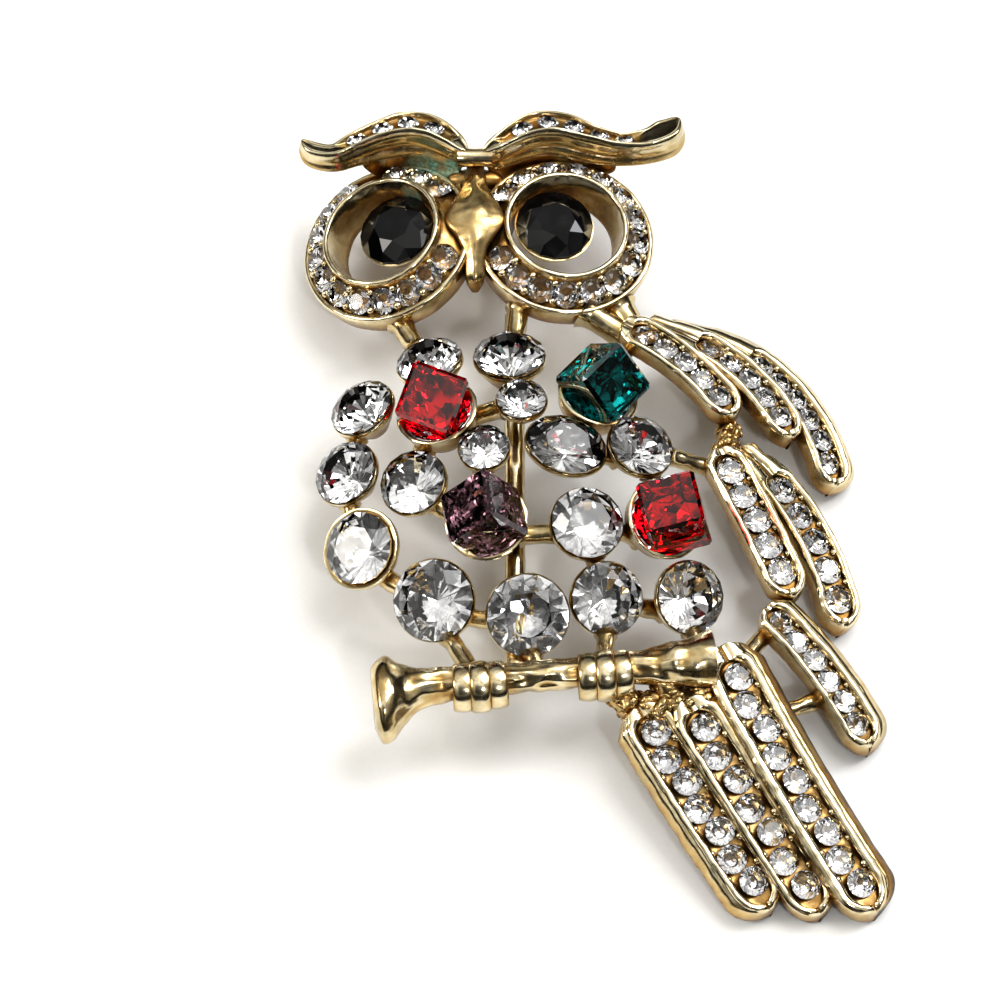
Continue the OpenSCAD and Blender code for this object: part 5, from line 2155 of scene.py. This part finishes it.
@dataclass
class Ties:
    """The bars and rough lumps that join the groups."""

    head: Head
    chest: Chest
    branch: Branch
    rows: Sequence[Feather]
    back_bar_w: float = 1.7
    back_bar_t: float = 1.7
    back_bar_h: float = 6.4

    def bars(self) -> list[tuple[np.ndarray, np.ndarray, float]]:
        """The round bars.

        Returns:
            Both ends and the thickness of each.
        """
        d, thick = LAYOUT.strut_d, LAYOUT.strut_d * 1.6
        head, ring = self.head, self.head.ring_d
        left = np.array(head.ring_place(0).translation)
        right = np.array(head.ring_place(1).translation)
        f, at, depth = self.rows, self.branch.at, head.depth
        foot, wall = self.chest.foot, self.chest.wall
        out = [(wall(a, foot(b)), wall(b, foot(a)), d * k) for a, b, k in self.chest.struts]
        for i, p, k in (
            (0, left + [ring * 0.09, -ring * 0.47, -depth * 0.6], 1.3),
            (1, right + [-ring * 0.26, -ring * 0.42, -depth * 0.6], 1.2),
            (17, f[0].foot(0.04, d), 1), (8, f[3].foot(0.08, d), 1), (14, at(0.95), 1),
            (13, at(self.branch.claws[1]), 1), (12, at(0.48), 1), (11, at(self.branch.claws[0]), 1),
        ):
            out.append((p, wall(i, p), d * k))
        out += [
            (right + [ring * 0.1, -ring * 0.43, -depth * 0.6], f[0].foot(0.05, thick), thick),
            (right + [ring * 0.3, -ring * 0.38, -depth * 0.8], f[0].foot(0.12, thick), thick),
            (f[3].foot(0.06, thick), f[4].foot(0.1, thick), thick),
            (f[3].foot(0.85, d), f[5].foot(0.08, d), d),
            (f[5].foot(0.05, d), f[8].foot(0.06, d), d),
            (f[5].foot(0.6, d), f[8].foot(0.24, d), d),
            (at(0.93), f[8].foot(0.02, thick), thick),
            (f[6].foot(0.05, thick), f[7].foot(0.05, thick), thick),
            (f[7].foot(0.05, thick), f[8].foot(0.24, thick), thick),
        ]
        return out

    def lumps(self) -> list[tuple[np.ndarray, np.ndarray, float]]:
        """The rough lumps.

        Returns:
            Both ends and the thickness of each.
        """
        thick, f = LAYOUT.strut_d * 1.6, self.rows
        at = self.branch.at
        return [
            (at(0.68), f[6].foot(0.06, thick), thick),
            (at(0.82), f[7].foot(0.06, thick), thick),
            (f[0].foot(0.93, thick), f[3].foot(0.09, thick), thick),
            (f[6].foot(0.0, thick) + [0.1, 0.5, 1.3], f[7].foot(0.0, thick) + [-0.3, 0.4, 1.2], 2.5),
            (f[7].foot(0.0, thick) + [-0.3, 0.4, 1.2], f[8].foot(0.13, thick) + [-1.2, 0.0, 0.6], 2.5),
        ]

    def struts(self, finishes: Finishes) -> Object:
        """All the round bars, by Geometry Nodes.

        Args:
            finishes: The materials.

        Returns:
            The object.
        """
        points, thickness, edges = [], [], []
        for a, b, d in self.bars():
            edges.append((len(points), len(points) + 1))
            points += [a.tolist(), b.tolist()]
            thickness += [d * BAR_SHOWN * MM, d * BAR_SHOWN * MM]
        source = point_cloud("strut_lines", points, edges, thickness=thickness)
        return StrutRecipe().run(
            source,
            "struts",
            {
                "Step": 0.25 * MM, "Flare": 0.35, "Unevenness": 0.3 * MM, "Lump": 1.3 * MM,
                "Metal": finishes.gold,
            },
        )

    def nuggets(self, finishes: Finishes) -> Object:
        """The rough lumps, by Geometry Nodes.

        Args:
            finishes: The materials.

        Returns:
            The object.
        """
        solid = Solid()
        for a, b, d in self.lumps():
            axis = Vector(b - a)
            turn_to = axis.to_track_quat("Z", "Y").to_matrix().to_4x4()
            long = axis.length
            # The lumps are darkened a little: grime and painted shade.
            profile = [[0, -d * 0.4, 0.3]]
            for k in range(1, 24):
                q = pi * k / 24
                profile.append([d * 0.52 * sin(q) ** 0.6, -d * 0.4 + (long + d * 0.8) * k / 24, 0.25])
            profile.append([0, long + d * 0.4, 0.3])
            solid.lathe(profile, shift(*a) @ turn_to, 32)
        source = solid.build("nugget_core", [finishes.gold], lumps=((1.1, 0.5), (0.5, 0.25)))
        return NuggetRecipe().run(
            source, "nuggets", {"Grain": 0.36 * MM, "Spacing": 0.5 * MM, "Seed": 5, "Metal": finishes.gold}
        )

    def back_bar(self) -> Solid:
        """The flat bar up the back, with rounded edges.

        Returns:
            The solid.
        """
        x = -0.121 * LAYOUT.owl_w
        y1 = self.head.eye_y - self.head.ring_d * 0.42
        y0 = self.branch.at(0.42)[1]
        w, t, h = self.back_bar_w / 2, self.back_bar_t, self.back_bar_h
        rings = []
        for y in np.linspace(y0, y1, 90):
            rise = 0.06 * uneven((0, y, 0), 2.0)
            # Its lower side is painted darker than its top: grime and painted shade.
            raw = np.array([[-w, h - t, 0.3], [w, h - t, 0.3], [w, h + rise, 0.1], [-w, h + rise, 0.1]])
            raw = corner_cut(raw, 3)
            rings.append(np.column_stack([x + raw[:, 0], np.full(len(raw), y), raw[:, 1], raw[:, 2]]))
        solid = Solid()
        solid.loft(rings)
        return solid


# Studio


SHADE_LEAN = 0.22


@dataclass(frozen=True)
class Studio:
    """Background paper, soft lamps, the room's glow and the camera of the photograph."""

    elevation: float = 62.0
    distance: float = 0.3
    lens: float = 129.6
    sheet: float = 3.0
    target: tuple[float, float, float] = (-0.00715, 0.0001, 0.006)

    def floor(self) -> None:
        """The paper that the brooch lies on."""
        mesh, s = bpy.data.meshes.new("paper"), self.sheet / 2
        mesh.from_pydata([(-s, -s, 0), (s, -s, 0), (s, s, 0), (-s, s, 0)], [], [(0, 1, 2, 3)])
        mesh.materials.append(StudioPaper().material())
        add_object("paper", mesh)

    def lamp(self, name: str, place: Sequence[float], size: float, power: float, colour: str) -> None:
        """Adds a soft lamp that faces the brooch.

        Args:
            name: Its name.
            place: Where it stands, in metres.
            size: Side of its square, in metres.
            power: Its power in watts.
            colour: Its colour.
        """
        data = bpy.data.lights.new(name, "AREA")
        data.size = size
        data.energy = power
        data.color = linear(colour)[:3]
        obj = add_object(name, data)
        obj.location = place
        obj.rotation_mode = "QUATERNION"
        obj.rotation_quaternion = (Vector(place) * -1).to_track_quat("-Z", "Y")

    def lamps(self) -> None:
        """The lamps: a large one over the head, one at each side and a small hard one."""
        self.lamp("over", (0.26, 0.20, 0.62), 0.42, 3.2, "#ffffff")
        self.lamp("left", (-0.55, -0.05, 0.40), 0.22, 2.2, "#fffaf2")
        self.lamp("right", (0.50, 0.20, 0.45), 0.16, 1.3, "#fbfcff")
        self.lamp("spark", (0.16, -0.40, 0.55), 0.06, 0.8, "#ffffff")

    def room(self) -> None:
        """A pale room with a dark band at the horizon and a shadow where the camera is held."""
        world = bpy.data.worlds.new("room")
        bpy.context.scene.world = world
        world.use_nodes = True
        tree = world.node_tree
        tree.nodes.clear()
        look = add_node(tree, "ShaderNodeTexCoord").outputs["Generated"]
        split = add_node(tree, "ShaderNodeSeparateXYZ", {0: look})
        heights = add_node(tree, "ShaderNodeValToRGB", {"Fac": split.outputs["Z"]})
        stops = (
            (0.0, "#2b2824"), (0.12, "#161412"), (0.36, "#24221f"), (0.56, "#999894"), (0.74, "#d0cfcb"),
            (1.0, "#eceae6"),
        )
        fill_ramp(heights.color_ramp, stops)
        over = radians(self.elevation) - SHADE_LEAN
        dot = add_node(
            tree, "ShaderNodeVectorMath", {0: look, 1: (0.0, -cos(over), sin(over))},
            operation="DOT_PRODUCT",
        )
        shade = add_node(
            tree, "ShaderNodeMapRange",
            {
                "Value": dot.outputs["Value"], "From Min": 0.88, "From Max": 0.96, "To Min": 1.0,
                "To Max": 0.16,
            },
            interpolation_type="SMOOTHSTEP",
        )
        panes = add_node(tree, "ShaderNodeTexNoise", {"Vector": look, "Scale": 3.4, "Detail": 1.0})
        pane = add_node(
            tree, "ShaderNodeMapRange",
            {"Value": panes, "From Min": 0.4, "From Max": 0.6, "To Min": 0.55, "To Max": 1.6},
        )
        dim = add_node(tree, MATH, {0: shade, 1: pane}, operation="MULTIPLY")
        grey = add_node(
            tree, "ShaderNodeMix", {"Factor": 1.0, 6: heights, 7: dim}, data_type="RGBA",
            blend_type="MULTIPLY",
        )
        glow = add_node(tree, "ShaderNodeBackground", {"Color": grey.outputs[2], "Strength": 1.0})
        add_node(tree, "ShaderNodeOutputWorld", {"Surface": glow})

    def camera(self) -> None:
        """The camera, at the photograph's angle."""
        data = bpy.data.cameras.new("camera")
        data.lens = self.lens
        data.sensor_width = 36.0
        data.clip_start = 0.01
        tilt = radians(self.elevation)
        back = Vector((0.0, -cos(tilt), sin(tilt)))
        obj = add_object("camera", data)
        obj.location = Vector(self.target) + back * self.distance
        obj.rotation_mode = "QUATERNION"
        obj.rotation_quaternion = (-back).to_track_quat("-Z", "Y")
        bpy.context.scene.camera = obj

    def build(self) -> None:
        """Builds the whole studio."""
        self.camera()
        self.floor()
        self.lamps()
        self.room()
        bpy.context.scene.view_settings.view_transform = "Standard"
        bpy.context.scene.view_settings.look = "None"


# Assembly


CAST_LUMPS = ((1.5, 0.06), (0.55, 0.014))


@dataclass
class Brooch:
    """The whole brooch, built piece by piece."""

    finishes: Finishes
    head: Head = field(default_factory=Head)
    chest: Chest = field(default_factory=Chest)
    branch: Branch = field(default_factory=Branch)
    rows: list[Feather] = field(default_factory=feathers)

    def cast(self, solid: Solid, name: str, lumps: Sequence[tuple[float, float]] = CAST_LUMPS) -> None:
        """Makes a piece of the casting."""
        obj = solid.build(name, [self.finishes.gold], 50.0, lumps)
        settle(obj, ["casting"], "plate", "casting")

    def build_casting(self) -> None:
        """All the metal."""
        for side, word in enumerate(("left", "right")):
            self.cast(self.head.ring(side), f"eye_ring_{word}", ((2.2, 0.06), (0.6, 0.02)))
            self.cast(self.head.brow(side), f"brow_{word}", ((2.6, 0.05), (0.8, 0.008)))
        self.cast(self.head.beak(), "beak", ((1.2, 0.1), (0.5, 0.03)))
        self.cast(self.chest.cups(), "chest_cups", ((1.2, 0.05),))
        for feather in self.rows:
            solid = Solid()
            feather.metal(solid)
            self.cast(solid, f"feather_{feather.name}")
        self.cast(self.branch.metal(), "branch", ((0.7, 0.03),))
        ties = Ties(self.head, self.chest, self.branch, self.rows)
        self.cast(ties.back_bar(), "back_bar")
        settle(ties.struts(self.finishes), ["casting"], "plate", "casting")
        settle(ties.nuggets(self.finishes), ["casting"], "plate", "casting")
        places = [p for feather in self.rows for p in feather.beads()]
        places += [p for side in (0, 1) for p in self.head.ring_beads(side)]
        beads = BeadRecipe().run(
            point_cloud("bead_points", places),
            "setting_beads",
            {"Radius": 0.34 * MM, "Seed": 11, "Metal": self.finishes.gold},
        )
        settle(beads, ["casting"], "plate", "casting")

    def build_stones(self) -> None:
        """The eye stones, the clear stones and the cubes."""
        cut = BrilliantCut()
        for side, word in enumerate(("left", "right")):
            solid = Solid()
            wide = BrilliantCut(table=0.5, crown=0.14, star=0.78)
            wide.add_to(solid, self.head.eye_d, self.head.eye_place(side))
            obj = solid.build(f"jet_stone_{word}", [self.finishes.jet, self.finishes.jet], None)
            settle(obj, [f"eye_stone_{word}"], "black_glass", "eye stone")
        for i, stone in enumerate(CLEAR, 1):
            solid = Solid()
            spin = turn(0, 0, (37 * i) % 45 if stone.long == 1 else 0)
            cut.add_to(solid, stone.diameter, stone.place() @ spin, stone.long)
            obj = solid.build(f"chaton_{i:02d}", [self.finishes.clear, self.finishes.foil], None)
            settle(obj, [f"clear_{i:02d}"], "clear_glass", "clear stone")
        glasses = {
            "red_glass": self.finishes.red,
            "purple_glass": self.finishes.purple,
            "teal_glass": self.finishes.teal,
        }
        for cube in CUBES:
            obj = self.chest.cube(cube).build(
                f"glass_{cube.node}", [glasses[cube.slot], self.finishes.creased], None
            )
            settle(obj, [cube.node], cube.slot, "cube stone")

    def build_rows(self) -> None:
        """The rows of small stones, by Geometry Nodes."""
        recipe, stone = StoneRowRecipe(), pave_stone(self.finishes)
        rows: dict[str, tuple[float, list[Matrix]]] = {}
        for side, word in enumerate(("left", "right")):
            rows[f"ring_{word}"] = (self.head.stone_d, self.head.ring_stones(side))
            rows[f"brow_{word}"] = (self.head.brow_stone_d, self.head.brow_stones(side))
        for feather in self.rows:
            rows[feather.name] = (feather.group.stone_d, feather.stones())
        random.seed(20)
        for number, (name, (diameter, places)) in enumerate(rows.items()):
            leans = []
            for place in places:
                tilt = turn(random.uniform(-4, 4), random.uniform(-4, 4), 0)
                leans.append(tuple((place.to_3x3() @ tilt.to_3x3()).to_euler()))
            source = point_cloud(f"points_{name}", [tuple(m.translation) for m in places], lean=leans)
            obj = recipe.run(
                source,
                f"pave_{name}",
                {
                    "Stone": stone,
                    "Diameter": diameter * MM * PAVE_SHOWN,
                    "Seed": number + 1,
                    "Glass": self.finishes.clear,
                    "Foil": self.finishes.foil,
                },
            )
            obj.data.shade_flat()
            settle(obj, [f"stones_{name}"], "clear_glass", "small stones")
        bpy.data.objects.remove(stone)

    def build(self, pin: Object) -> None:
        """Builds everything in order.

        Args:
            pin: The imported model's own pin, which only gets its finish.
        """
        self.build_casting()
        self.build_stones()
        self.build_rows()
        pin.data.materials.clear()
        pin.data.materials.append(self.finishes.gold)
        LOG.info("bar pin: %s", pin.name)


def main() -> None:
    """Loads the frame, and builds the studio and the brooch."""
    logging.basicConfig(level=logging.INFO, format="%(name)s %(message)s")
    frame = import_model()
    Studio().build()
    Brooch(Finishes()).build(frame["nodes"]["bar_pin"])


if __name__ == "__main__":
    main()
